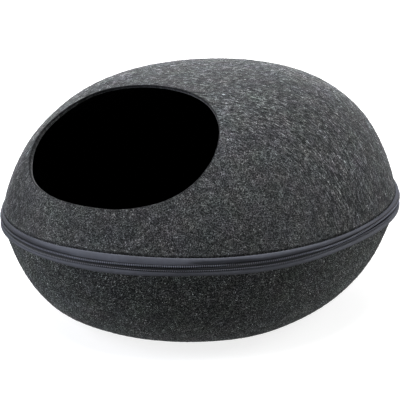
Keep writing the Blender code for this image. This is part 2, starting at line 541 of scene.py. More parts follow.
class Wiring:
    """A node tree being wired, with short ways to add nodes and link them."""

    COLOURS_IN = (6, 7)
    COLOUR_OUT = 2

    def __init__(self, tree: bpy.types.NodeTree) -> None:
        """Start wiring a tree."""
        self.tree = tree

    def node(self, kind: str, **settings: object) -> bpy.types.Node:
        """Add a node and set its own properties.

        Args:
            kind: The node's type.
            settings: Properties to set.

        Returns:
            The node.
        """
        made = self.tree.nodes.new(kind)
        for name, value in settings.items():
            setattr(made, name, value)
        return made

    def put(self, socket: Socket, value: object) -> None:
        """Link a socket to an output, or set its value.

        Args:
            socket: The input.
            value: An output socket, or a value.
        """
        if isinstance(value, Socket):
            self.tree.links.new(value, socket)
        else:
            socket.default_value = value

    def feed(self, node: bpy.types.Node, **values: object) -> bpy.types.Node:
        """Link or set a node's inputs.

        Args:
            node: The node.
            values: Its inputs by name, with _ for a space.

        Returns:
            The node.
        """
        for name, value in values.items():
            self.put(node.inputs[name.replace("_", " ")], value)
        return node

    def joined(self, node: bpy.types.Node, *values: object) -> bpy.types.Node:
        """Link or set a node's inputs in their order.

        Args:
            node: The node.
            values: Its inputs in order.

        Returns:
            The node.
        """
        for socket, value in zip(node.inputs, values):
            self.put(socket, value)
        return node

    def math(self, operation: str, *values: object) -> Socket:
        """Output of a Math node with an operation and its inputs."""
        return self.joined(self.node("ShaderNodeMath", operation=operation), *values).outputs[0]

    def places(self) -> Socket:
        """Places in metres, in the cave's own frame."""
        return self.node("ShaderNodeTexCoord").outputs["Object"]

    def moved(self, where: Socket, shift: Triple) -> Socket:
        """Places shifted along each axis."""
        return self.joined(self.node("ShaderNodeVectorMath", operation="ADD"), where, shift).outputs[0]

    def stretched(self, where: Socket, scale: Triple) -> Socket:
        """Places scaled along each axis."""
        made = self.node("ShaderNodeVectorMath", operation="MULTIPLY")
        return self.joined(made, where, scale).outputs[0]

    def noise(
        self,
        where: Socket,
        scale: object,
        detail: float,
        roughness: float = 0.5,
        output: str = "Fac",
    ) -> Socket:
        """Add a Noise Texture node.

        Args:
            where: The places.
            scale: Swells in a metre.
            detail: Octaves of finer noise.
            roughness: Strength of the finer noise.
            output: Which of its outputs is wanted.

        Returns:
            That output.
        """
        made = self.node("ShaderNodeTexNoise")
        self.feed(made, Vector=where, Scale=scale, Detail=detail, Roughness=roughness)
        return made.outputs[output]

    def span(self, value: Socket, given: Pair, wanted: Pair) -> Socket:
        """Map a range of values to another, held at both ends.

        Args:
            value: The value.
            given: The range's two ends.
            wanted: What they become.

        Returns:
            The mapped value.
        """
        made = self.node("ShaderNodeMapRange", clamp=True)
        self.feed(made, Value=value, From_Min=given[0], From_Max=given[1])
        self.feed(made, To_Min=wanted[0], To_Max=wanted[1])
        return made.outputs["Result"]

    def mix(self, part: object, first: object, second: object, blend: str = "MIX") -> Socket:
        """Mix two colours.

        Args:
            part: Share of the second.
            first: The first colour.
            second: The second colour.
            blend: How they mix.

        Returns:
            The mixed colour.
        """
        made = self.node("ShaderNodeMix", data_type="RGBA", blend_type=blend)
        self.feed(made, Factor=part)
        for place, colour in zip(self.COLOURS_IN, (first, second)):
            self.put(made.inputs[place], colour)
        return made.outputs[self.COLOUR_OUT]

    def shaded(self, colour: object, shade: Socket) -> Socket:
        """Colour multiplied by a shade or tint; a plain colour is given by its three shares."""
        first = colour if isinstance(colour, Socket) else (*colour, 1.0)
        return self.mix(1.0, first, shade, "MULTIPLY")

    def bump(self, height: Socket, distance: float, strength: float) -> Socket:
        """Normal of a relief.

        Args:
            height: The relief's height.
            distance: Metres that a height of 1 stands for.
            strength: Share of the relief that shows.

        Returns:
            The normal.
        """
        made = self.node("ShaderNodeBump")
        self.feed(made, Height=height, Distance=distance, Strength=strength)
        return made.outputs["Normal"]

    def group(self, effect: "SharedEffect", **values: object) -> Sockets:
        """Place a shared effect.

        Args:
            effect: The effect.
            values: Its inputs by name, with _ for a space.

        Returns:
            Its outputs.
        """
        made = self.node("ShaderNodeGroup")
        made.node_tree = effect.tree()
        return self.feed(made, **values).outputs


class SharedEffect:
    """An effect that several finishes share: a shader node group that is built once."""

    name: ClassVar[str]
    inputs: ClassVar[dict[str, float | None]]
    outputs: ClassVar[tuple[str, ...]]
    output_kind: ClassVar[str] = "NodeSocketFloat"

    def wire(self, wires: Wiring, given: Sockets) -> Sequence[Socket]:
        """Wire the effect from what it is given to its outputs, in order."""
        raise NotImplementedError

    def tree(self) -> bpy.types.NodeTree:
        """Build the group, or find it if it was built before.

        Returns:
            The group's tree. An input with no start value is a place.
        """
        found = bpy.data.node_groups.get(self.name)
        if found:
            return found
        tree = bpy.data.node_groups.new(self.name, "ShaderNodeTree")
        for label, value in self.inputs.items():
            kind = "NodeSocketVector" if value is None else "NodeSocketFloat"
            socket = tree.interface.new_socket(name=label, in_out="INPUT", socket_type=kind)
            if value is not None:
                socket.default_value = value
        for label in self.outputs:
            tree.interface.new_socket(name=label, in_out="OUTPUT", socket_type=self.output_kind)
        wires = Wiring(tree)
        given, made = wires.node("NodeGroupInput"), wires.node("NodeGroupOutput")
        wires.joined(made, *self.wire(wires, given.outputs))
        return tree


@dataclass(frozen=True)
class Grain:
    """One noise of the felt's grain: its pace and detail, and how much it shades the felt."""

    pace: float
    detail: float
    roughness: float
    weight: float = 0.0
    combed_weight: float = 0.0
    shift: Triple = (0.0, 0.0, 0.0)
    spread: Pair = (0.25, 0.75)

    def level(self, wires: Wiring, where: Socket, scale: Socket) -> Socket:
        """The noise, spread over -1 to 1.

        Args:
            wires: The wiring.
            where: The places.
            scale: Scale of the felt's grain.

        Returns:
            The noise's level.
        """
        pace = wires.math("MULTIPLY", scale, self.pace)
        fac = wires.noise(wires.moved(where, self.shift), pace, self.detail, self.roughness)
        return wires.span(fac, self.spread, (-1.0, 1.0))

    def shade(self, wires: Wiring, level: Socket, combed: Socket, light: object) -> Socket:
        """Add the noise's shade to the light of the felt.

        Args:
            wires: The wiring.
            level: The noise's level.
            combed: How strongly the felt is combed.
            light: The light so far.

        Returns:
            The light with this noise.
        """
        weight = wires.math("MULTIPLY_ADD", combed, self.combed_weight, self.weight)
        return wires.math("MULTIPLY_ADD", level, weight, light)


@dataclass(frozen=True)
class FeltFibres(SharedEffect):
    """Tangled felt fibres, combed one way over the crown.

    Shade is near 1 and lighter on top fibres, Pale marks single pale fibres, and Height lifts
    the fibres.
    """

    name: ClassVar[str] = "felt_fibres"
    inputs: ClassVar[dict[str, float | None]] = {
        "Position": None, "Combing": 1.0, "Grain Scale": 450.0, "Contrast": 1.0, "Pale Share": 0.12
    }
    outputs: ClassVar[tuple[str, ...]] = ("Shade", "Pale", "Height")
    combed_turn: float = math.radians(28.0)
    combed_stretch: Triple = (0.23, 1.0, 0.23)
    combed_half_width: Pair = (0.18, 0.11)
    combed_contrast: float = 0.05
    laid_stretch: Triple = (0.85, 0.85, 1.2)
    streaks: Grain = Grain(1.30, 1.5, 0.55, combed_weight=1.0)
    drift: Grain = Grain(1.0, 2.0, 0.55, 0.42, -0.22)
    clumps: Grain = Grain(0.95, 2.5, 0.62, 0.30, -0.10, (5.0, 2.0, 1.0))
    specks: Grain = Grain(2.1, 1.0, 0.5, 1.0, -0.30, (2.0, 7.0, 3.0))
    swells: Grain = Grain(0.27, 1.0, 0.5, 0.12, shift=(9.0, 1.0, 6.0))
    patches: Grain = Grain(0.10, 1.0, 0.5, 0.09, shift=(4.0, 3.0, 8.0))
    strand_paces: Pair = (0.9, 1.2)
    strand_detail: float = 1.0
    strand_roughness: float = 0.4
    strand_half_width: float = 0.05
    strand_level: float = 0.35
    strand_weight: float = 0.45
    pale_shift: Triple = (1.0, 9.0, 4.0)
    pale_scale: float = 210.0
    pale_detail: float = 1.0
    pale_limit: float = 0.80
    pale_share_gain: float = 1.6
    pale_sharpness: float = 14.0
    soft_relief: float = 0.35
    strand_relief: float = 0.5

    def strands(self, wires: Wiring, where: Socket, scale: Socket, pace: float) -> Socket:
        """Thin winding lines, as single fibres lie.

        Args:
            wires: The wiring.
            where: The places.
            scale: Scale of the felt's grain.
            pace: Share of that scale.

        Returns:
            A mask that is 1 along the lines.
        """
        paced = wires.math("MULTIPLY", scale, pace)
        level = wires.noise(where, paced, self.strand_detail, self.strand_roughness)
        off = wires.math("ABSOLUTE", wires.math("SUBTRACT", level, 0.5))
        return wires.span(off, (0.0, self.strand_half_width), (1.0, 0.0))

    def wire(self, wires: Wiring, given: Sockets) -> Sequence[Socket]:
        """Wire the grain, the strands and the single pale fibres.

        Args:
            wires: The group's wiring.
            given: The group's inputs.

        Returns:
            The group's outputs, in order.
        """
        where, scale = given["Position"], given["Grain Scale"]
        turned = wires.node("ShaderNodeVectorRotate", rotation_type="Z_AXIS")
        wires.feed(turned, Vector=where, Angle=-self.combed_turn)
        combed = wires.stretched(turned.outputs[0], self.combed_stretch)
        laid = wires.stretched(where, self.laid_stretch)
        parts = wires.joined(wires.node("ShaderNodeSeparateXYZ"), turned.outputs[0])
        aside = wires.math("ABSOLUTE", parts.outputs["Y"])
        drawn = wires.span(aside, self.combed_half_width, (0.0, 1.0))
        gain = wires.math("MULTIPLY", drawn, given["Combing"])
        light: object = 0.0
        levels = []
        grains = (self.streaks, self.drift, self.clumps, self.specks, self.swells, self.patches)
        for grain, lay in zip(grains, (combed, laid, where, where, where, where)):
            levels.append(grain.level(wires, lay, scale))
            light = grain.shade(wires, levels[-1], gain, light)
        lines = [
            self.strands(wires, lay, scale, pace)
            for lay, pace in zip((laid, where), self.strand_paces)
        ]
        strands = wires.math("MAXIMUM", *lines)
        raised = wires.math("SUBTRACT", strands, self.strand_level)
        light = wires.math("MULTIPLY_ADD", raised, self.strand_weight, light)
        firm = wires.math("MULTIPLY_ADD", gain, self.combed_contrast, 1.0)
        power = wires.math("MULTIPLY", light, wires.math("MULTIPLY", given["Contrast"], firm))
        spots = wires.moved(laid, self.pale_shift)
        rare = wires.noise(spots, self.pale_scale, self.pale_detail)
        share = wires.math("MULTIPLY", given["Pale Share"], self.pale_share_gain)
        over = wires.math("SUBTRACT", rare, wires.math("SUBTRACT", self.pale_limit, share))
        over = wires.math("MULTIPLY", over, self.pale_sharpness)
        chosen = wires.math("MINIMUM", wires.math("MAXIMUM", over, 0.0), 1.0)
        drift, clumps = levels[1:3]
        relief = wires.math("MULTIPLY", drift, self.soft_relief)
        relief = wires.math("MULTIPLY_ADD", clumps, self.soft_relief, relief)
        return (
            wires.math("POWER", 2.0, power),
            wires.math("MULTIPLY", chosen, lines[0]),
            wires.math("MULTIPLY_ADD", strands, self.strand_relief, relief),
        )


@dataclass(frozen=True)
class DyePatches(SharedEffect):
    """Faint patches of other dyes, as recycled fibres give: Tint is a colour near white."""

    name: ClassVar[str] = "dye_patches"
    inputs: ClassVar[dict[str, float | None]] = {
        "Position": None, "Patch Scale": 45.0, "Strength": 0.5
    }
    outputs: ClassVar[tuple[str, ...]] = ("Tint",)
    output_kind: ClassVar[str] = "NodeSocketColor"
    detail: float = 1.0
    gain: float = 2.0

    def wire(self, wires: Wiring, given: Sockets) -> Sequence[Socket]:
        """Wire coloured noise, doubled to lie round white.

        Args:
            wires: The group's wiring.
            given: The group's inputs.

        Returns:
            The group's output.
        """
        patch = wires.noise(given["Position"], given["Patch Scale"], self.detail, output="Color")
        doubled = wires.mix(1.0, patch, (self.gain, self.gain, self.gain, 1.0), "MULTIPLY")
        return (wires.mix(given["Strength"], WHITE, doubled),)


@dataclass(frozen=True)
class PaintedLightTone(SharedEffect):
    """A soft round place of painted light or painted shade: Tone is raised or lowered there."""

    name: ClassVar[str] = "painted_light_place"
    inputs: ClassVar[dict[str, float | None]] = {
        "Tone": 1.0, "Position": None, "Middle": None, "Reach": 0.03, "Gain": 0.0
    }
    outputs: ClassVar[tuple[str, ...]] = ("Tone",)

    def wire(self, wires: Wiring, given: Sockets) -> Sequence[Socket]:
        """Wire a mound of tone round the middle.

        Args:
            wires: The group's wiring.
            given: The group's inputs.

        Returns:
            The group's output.
        """
        away = wires.node("ShaderNodeVectorMath", operation="DISTANCE")
        wires.joined(away, given["Position"], given["Middle"])
        part = wires.math("DIVIDE", away.outputs["Value"], given["Reach"])
        fall = wires.math("MULTIPLY", wires.math("MULTIPLY", part, part), -1.0)
        change = wires.math("MULTIPLY_ADD", wires.math("EXPONENT", fall), given["Gain"], 1.0)
        return (wires.math("MULTIPLY", change, given["Tone"]),)


@dataclass(frozen=True)
class TapeWeave(SharedEffect):
    """Fine ribs of a woven zip tape: Shade is near 1, and Height is the weave's relief."""

    name: ClassVar[str] = "tape_weave"
    inputs: ClassVar[dict[str, float | None]] = {"Place": None, "Threads": 1700.0}
    outputs: ClassVar[tuple[str, ...]] = ("Shade", "Height")
    slub_scale: float = 260.0
    slub_detail: float = 2.0
    slub_range: Pair = (0.3, 0.7)
    slub_shade: float = 0.16
    slub_relief: float = 0.4
    thread_shade: float = 0.10

    def wire(self, wires: Wiring, given: Sockets) -> Sequence[Socket]:
        """Wire crossing threads and uneven slubs along them.

        Args:
            wires: The group's wiring.
            given: The group's inputs.

        Returns:
            The group's outputs, in order.
        """
        parts = wires.joined(wires.node("ShaderNodeSeparateXYZ"), given["Place"])
        turns = wires.math("MULTIPLY", given["Threads"], FULL_TURN)
        run, pick = (
            wires.math("SINE", wires.math("MULTIPLY", parts.outputs[axis], turns)) for axis in "XY"
        )
        weave = wires.math("MULTIPLY", run, pick)
        wear = wires.noise(given["Place"], self.slub_scale, self.slub_detail)
        slub = wires.span(wear, self.slub_range, (-0.5, 0.5))
        threads = wires.math("MULTIPLY_ADD", weave, self.thread_shade, 1.0)
        return (
            wires.math("MULTIPLY_ADD", slub, self.slub_shade, threads),
            wires.math("MULTIPLY_ADD", slub, self.slub_relief, weave),
        )


# ----- Finishes -----


@dataclass(frozen=True)
class PaintedLightPlace:
    """A soft round place where painted light or painted shade makes the cloth paler or darker: its
    middle and reach in metres.
    """

    middle: Triple
    reach: float
    gain: float


@dataclass(frozen=True)
class Finish:
    """A finish of the cave or of its floor, made as one material."""

    name: str
    # Places where light or shade is painted into the colour.
    painted_light: tuple[PaintedLightPlace, ...] = ()

    def dress(self, wires: Wiring, where: Socket) -> dict[str, object]:
        """Wire the finish's own nodes, and give the shader's inputs by name."""
        raise NotImplementedError

    def painted_light_tone(self, wires: Wiring, where: Socket, tone: Socket) -> Socket:
        """Raise or lower a tone round each place of painted light or painted shade.

        Args:
            wires: The material's wiring.
            where: The places on the cave.
            tone: The tone.

        Returns:
            The changed tone.
        """
        for place in self.painted_light:
            values = {"Middle": place.middle, "Reach": place.reach, "Gain": place.gain}
            tone = wires.group(PaintedLightTone(), Tone=tone, Position=where, **values)["Tone"]
        return tone

    def material(self) -> bpy.types.Material:
        """Build the material, or find it if it was built before.

        Returns:
            The material.
        """
        found = bpy.data.materials.get(self.name)
        if found:
            return found
        made = bpy.data.materials.new(self.name)
        made.use_nodes = True
        wires = Wiring(made.node_tree)
        shader = made.node_tree.nodes["Principled BSDF"]
        wires.feed(shader, **self.dress(wires, wires.places()))
        return made


@dataclass(frozen=True)
class FeltFinish(Finish):
    """Needled felt of charcoal wool with paler fibres through it."""

    colour: Triple = (0.0238, 0.0247, 0.0255)
    pale: Triple = (0.15, 0.155, 0.16)
    combing: float = 1.0
    grain_scale: float = 540.0
    contrast: float = 2.9
    pale_share: float = 0.14
    tint: float = 0.09
    roughness: float = 0.92
    gloss: float = 0.08
    sheen: float = 0.05
    sheen_roughness: float = 0.45
    sheen_tint: Triple = (0.80, 0.82, 0.86)
    relief: float = 0.0005
    relief_strength: float = 0.6
    # Painted sheen: how much paler the felt is painted where its face turns away from the eye, and
    # over which facing.
    rim_sheen: float = 0.0
    rim_sheen_from: float = 0.45
    rim_sheen_to: float = 0.94

    def dress(self, wires: Wiring, where: Socket) -> dict[str, object]:
        """Wire the fibres, the dye patches, painted light and shade, and a painted sheen at the edges
        of sight.

        Args:
            wires: The material's wiring.
            where: The places on the cave.

        Returns:
            The shader's inputs by name.
        """
        fibres = wires.group(
            FeltFibres(),
            Position=where,
            Combing=self.combing,
            Grain_Scale=self.grain_scale,
            Contrast=self.contrast,
            Pale_Share=self.pale_share,
        )
        patches = wires.group(DyePatches(), Position=where, Strength=self.tint)
        tone = self.painted_light_tone(wires, where, fibres["Shade"])
        # Painted sheen: the felt's colour is made paler towards the outline, standing for light caught
        # there.
        facing = wires.node("ShaderNodeLayerWeight").outputs["Facing"]
        rim_sheen = wires.span(facing, (self.rim_sheen_from, self.rim_sheen_to), (1.0, 1.0 + self.rim_sheen))
        dyed = wires.shaded(self.colour, patches["Tint"])
        felted = wires.shaded(dyed, wires.math("MULTIPLY", tone, rim_sheen))
        return {
            "Base_Color": wires.mix(fibres["Pale"], felted, (*self.pale, 1.0)),
            "Roughness": self.roughness,
            "Diffuse_Roughness": 1.0,
            "Specular_IOR_Level": self.gloss,
            "Sheen_Weight": self.sheen,
            "Sheen_Roughness": self.sheen_roughness,
            "Sheen_Tint": (*self.sheen_tint, 1.0),
            "Normal": wires.bump(fibres["Height"], self.relief, self.relief_strength),
        }


@dataclass(frozen=True)
class PileFinish(Finish):
    """Single loose fibres on the felt, from dark to pale."""

    name: str = "felt_pile"
    dark: Triple = (0.022, 0.023, 0.025)
    pale: Triple = (0.32, 0.325, 0.33)
    pale_range: Pair = (0.50, 0.72)
    lock_scale: float = 170.0
    lock_detail: float = 1.0
    tint: float = 0.12
    roughness: float = 0.8
    gloss: float = 0.3

    def dress(self, wires: Wiring, where: Socket) -> dict[str, object]:
        """Wire dark and pale locks with a faint tint.

        Args:
            wires: The material's wiring.
            where: The places on the cave.

        Returns:
            The shader's inputs by name.
        """
        chance = wires.noise(where, self.lock_scale, self.lock_detail)
        share = wires.span(chance, self.pale_range, (0.0, 1.0))
        patches = wires.group(DyePatches(), Position=where, Strength=self.tint)
        colour = wires.mix(share, (*self.dark, 1.0), (*self.pale, 1.0))
        return {
            "Base_Color": wires.shaded(colour, patches["Tint"]),
            "Roughness": self.roughness,
            "Specular_IOR_Level": self.gloss,
        }


@dataclass(frozen=True)
class TapeFinish(Finish):
    """Smooth polyester zip tape, blue-grey with a satin sheen."""

    colour: Triple = (0.042, 0.0445, 0.056)
    roughness: Pair = (0.55, 0.67)
    gloss: float = 0.2
    sheen: float = 0.04
    sheen_roughness: float = 0.35
    threads: float = 1700.0
    relief: float = 0.00008
    relief_strength: float = 0.5
    rub_scale: float = 45.0
    rub_detail: float = 3.0
    rub_roughness: float = 0.6
    rub_range: Pair = (0.35, 0.65)
    rub_shade: Pair = (0.90, 1.10)
    dull_range: Pair = (0.3, 0.7)

    def dress(self, wires: Wiring, where: Socket) -> dict[str, object]:
        """Wire the weave, laid along the tape, where it is rubbed, and its places of painted light and
        shade.

        Args:
            wires: The material's wiring.
            where: The places on the cave.

        Returns:
            The shader's inputs by name.
        """
        place = wires.node("ShaderNodeUVMap", uv_map="along").outputs[0]
        weave = wires.group(TapeWeave(), Place=place, Threads=self.threads)
        rub = wires.noise(where, self.rub_scale, self.rub_detail, self.rub_roughness)
        rubbed = wires.span(rub, self.rub_range, self.rub_shade)
        shade = wires.math("MULTIPLY", weave["Shade"], rubbed)
        return {
            "Base_Color": wires.shaded(self.colour, self.painted_light_tone(wires, where, shade)),
            "Roughness": wires.span(rub, self.dull_range, self.roughness),
            "Specular_IOR_Level": self.gloss,
            "Sheen_Weight": self.sheen,
            "Sheen_Roughness": self.sheen_roughness,
            "Normal": wires.bump(weave["Height"], self.relief, self.relief_strength),
        }


@dataclass(frozen=True)
class CoilFinish(Finish):
    """Nylon wire of the zip's coil, dark blue-grey and a little glossy."""

    name: str = "zip_coil_nylon"
    colour: Triple = (0.096, 0.103, 0.132)
    roughness: Pair = (0.30, 0.46)
    dust_scale: float = 150.0
    dust_detail: float = 3.0
    dust_roughness: float = 0.6
    dust_range: Pair = (0.35, 0.7)
    dust_shade: Pair = (0.85, 1.35)
    dull_range: Pair = (0.3, 0.7)
    # Painted shade between the turns and a painted highlight on their crowns, by how far forward the
    # wire lies.
    crown_range: Pair = (0.45, 0.85)
    painted_turn_shade: Pair = (0.04, 1.15)

    def dress(self, wires: Wiring, where: Socket) -> dict[str, object]:
        """Wire dust along the wire, painted shade between its turns and a painted highlight on their
        crowns.

        Args:
            wires: The material's wiring.
            where: The places on the cave.

        Returns:
            The shader's inputs by name.
        """
        dust = wires.noise(where, self.dust_scale, self.dust_detail, self.dust_roughness)
        # Painted shade between the coil's turns and a painted highlight on their crowns.
        crown = wires.node("ShaderNodeAttribute", attribute_name="crown").outputs["Fac"]
        shade = wires.math(
            "MULTIPLY",
            wires.span(dust, self.dust_range, self.dust_shade),
            wires.span(crown, self.crown_range, self.painted_turn_shade),
        )
        return {
            "Base_Color": wires.shaded(self.colour, self.painted_light_tone(wires, where, shade)),
            "Roughness": wires.span(dust, self.dull_range, self.roughness),
        }


@dataclass(frozen=True)
class FloorFinish(Finish):
    """Plain pale paper floor."""

    name: str = "studio_floor"
    paper: Pair = (0.05, 0.35)
    glow: Pair = (0.50, 0.82)
    mottle_scale: float = 3.0
    mottle_detail: float = 2.0
    mottle_range: Pair = (0.3, 0.7)
    mottle_shade: Pair = (0.985, 1.0)
    roughness: float = 0.9
    gloss: float = 0.1

    def dress(self, wires: Wiring, where: Socket) -> dict[str, object]:
        """Wire paper that gives the cave less light than it shows to the eye.

        Args:
            wires: The material's wiring.
            where: The places on the floor.

        Returns:
            The shader's inputs by name.
        """
        level = wires.noise(where, self.mottle_scale, self.mottle_detail)
        mottle = wires.span(level, self.mottle_range, self.mottle_shade)
        seen = wires.node("ShaderNodeLightPath").outputs["Is Camera Ray"]
        return {
            "Base_Color": wires.math("MULTIPLY", wires.span(seen, (0.0, 1.0), self.paper), mottle),
            "Emission_Color": wires.span(seen, (0.0, 1.0), self.glow),
            "Emission_Strength": 1.0,
            "Roughness": self.roughness,
            "Specular_IOR_Level": self.gloss,
        }


DOME_OUTSIDE = FeltFinish(
    "felt_dome_outside",
    # Painted sheen at the dome's outline.
    rim_sheen=0.95,
    rim_sheen_from=0.72,
    # Painted light and painted shade: places where the dome's felt is painted paler or darker.
    painted_light=(
        PaintedLightPlace((0.098, -0.118, 0.232), 0.028, 0.55),
        PaintedLightPlace((0.128, -0.014, 0.236), 0.034, -0.24),
        PaintedLightPlace((0.158, 0.020, 0.213), 0.030, -0.10),
        PaintedLightPlace((0.080, 0.092, 0.245), 0.040, 0.40),
        PaintedLightPlace((0.076, -0.076, 0.252), 0.018, 0.28),
        PaintedLightPlace((0.026, -0.014, 0.262), 0.024, -0.22),
        PaintedLightPlace((-0.090, -0.082, 0.246), 0.024, -0.22),
        PaintedLightPlace((-0.112, -0.120, 0.224), 0.022, -0.26),
        PaintedLightPlace((0.172, 0.072, 0.174), 0.040, -0.20),
        PaintedLightPlace((-0.112, -0.188, 0.148), 0.042, -0.66),
        PaintedLightPlace((0.195, -0.005, 0.150), 0.026, -0.22),
        PaintedLightPlace((0.187, -0.084, 0.139), 0.022, 0.32),
        PaintedLightPlace((-0.040, -0.231, 0.128), 0.026, 0.26),
    ),
)
BOWL_OUTSIDE = FeltFinish(
    "felt_bowl_outside",
    colour=(0.0228, 0.0246, 0.0241),
    combing=0.0,
    contrast=4.0,
    # Painted sheen at the bowl's outline.
    rim_sheen=0.62,
    # Painted light: the bowl's felt is painted paler at this place.
    painted_light=(PaintedLightPlace((0.178, 0.026, 0.060), 0.038, 0.34),),
)
# Painted shade: the outer band of each cut edge is painted darker than the felt, standing for the edge
# in shade.
CUT_OUTER_PAINTED_SHADE = FeltFinish(
    "felt_cut_outer_painted_shade",
    colour=(0.010, 0.0102, 0.011),
    pale=(0.03, 0.03, 0.032),
    contrast=1.3,
    pale_share=0.03,
    sheen=0.10,
)
CUT_INNER_LAYER = FeltFinish(
    "felt_cut_inner_layer",
    colour=(0.034, 0.035, 0.037),
    pale=(0.10, 0.10, 0.105),
    contrast=2.0,
    pale_share=0.08,
    sheen=0.3,
    # Painted shade: the lighter band of the cut edge is painted darker at the entrance's lower left.
    painted_light=(PaintedLightPlace((-0.098, -0.158, 0.194), 0.034, -0.65),),
)
# Painted shade: the felt inside the cave is painted near black, standing for the dark within it.
INSIDE = FeltFinish(
    "felt_inside_painted_shade",
    colour=(0.0030, 0.0030, 0.0032),
    pale=(0.008, 0.008, 0.008),
    pale_share=0.08,
    tint=0.15,
    sheen=0.0,
)
UPPER_TAPE = TapeFinish(
    "zip_tape_upper_satin",
    # Painted light and painted shade: places where the upper tape is painted paler or darker.
    painted_light=(
        PaintedLightPlace((-0.116, -0.195, 0.138), 0.050, -0.62),
        PaintedLightPlace((0.204, 0.050, 0.138), 0.055, -0.36),
        PaintedLightPlace((0.160, -0.150, 0.138), 0.045, 0.22),
        PaintedLightPlace((-0.062, -0.227, 0.122), 0.030, -0.32),
        PaintedLightPlace((0.196, -0.045, 0.122), 0.022, -0.24),
    ),
)
# Painted light: the lower tape is a paler copy of the same tape, standing for more light falling on
# it.
LOWER_TAPE_PAINTED_LIGHT = TapeFinish(
    "zip_tape_lower_satin_painted_light",
    colour=(0.052, 0.055, 0.067),
    # Painted light and painted shade: places where the lower tape is painted paler or darker.
    painted_light=(
        PaintedLightPlace((-0.116, -0.198, 0.120), 0.045, -0.42),
        PaintedLightPlace((0.112, -0.196, 0.120), 0.032, -0.26),
        PaintedLightPlace((0.196, -0.060, 0.120), 0.040, 0.22),
        PaintedLightPlace((0.198, 0.095, 0.120), 0.030, 0.30),
    ),
)
# Painted shade: a darker copy of the tape for its faces under and behind the coil, where shade falls.
TAPE_PAINTED_SHADE_UNDER_COIL = TapeFinish(
    "zip_tape_painted_shade_under_coil",
    colour=(0.012, 0.013, 0.016),
    # Painted light: the painted shade under the coil is lifted at this place.
    painted_light=(PaintedLightPlace((0.203, 0.010, 0.116), 0.050, 1.6),),
)
UPPER_COIL = CoilFinish(
    # Painted shade: places where the upper coil is painted darker.
    painted_light=(
        PaintedLightPlace((-0.116, -0.198, 0.118), 0.060, -0.55),
        PaintedLightPlace((0.157, -0.145, 0.118), 0.030, -0.55),
        PaintedLightPlace((0.203, 0.010, 0.118), 0.055, -0.38),
    ),
)
# Painted shade: the lower row is a darker copy of the same nylon, standing for shade under the upper
# row.
LOWER_COIL_PAINTED_SHADE = CoilFinish("zip_coil_nylon_lower_painted_shade", colour=(0.070, 0.075, 0.098))


# ----- Felt shells -----


@dataclass(frozen=True)
class Swell:
    """A place where the moulded felt stands proud of the true form, or sinks below it."""

    middle: Triple
    reach: float
    height: float

    def at(self, points: Numbers) -> Numbers:
        """How far the felt stands proud at points."""
        away = np.linalg.norm(points - np.array(self.middle), axis=-1)
        return self.height * mound(away, self.reach)


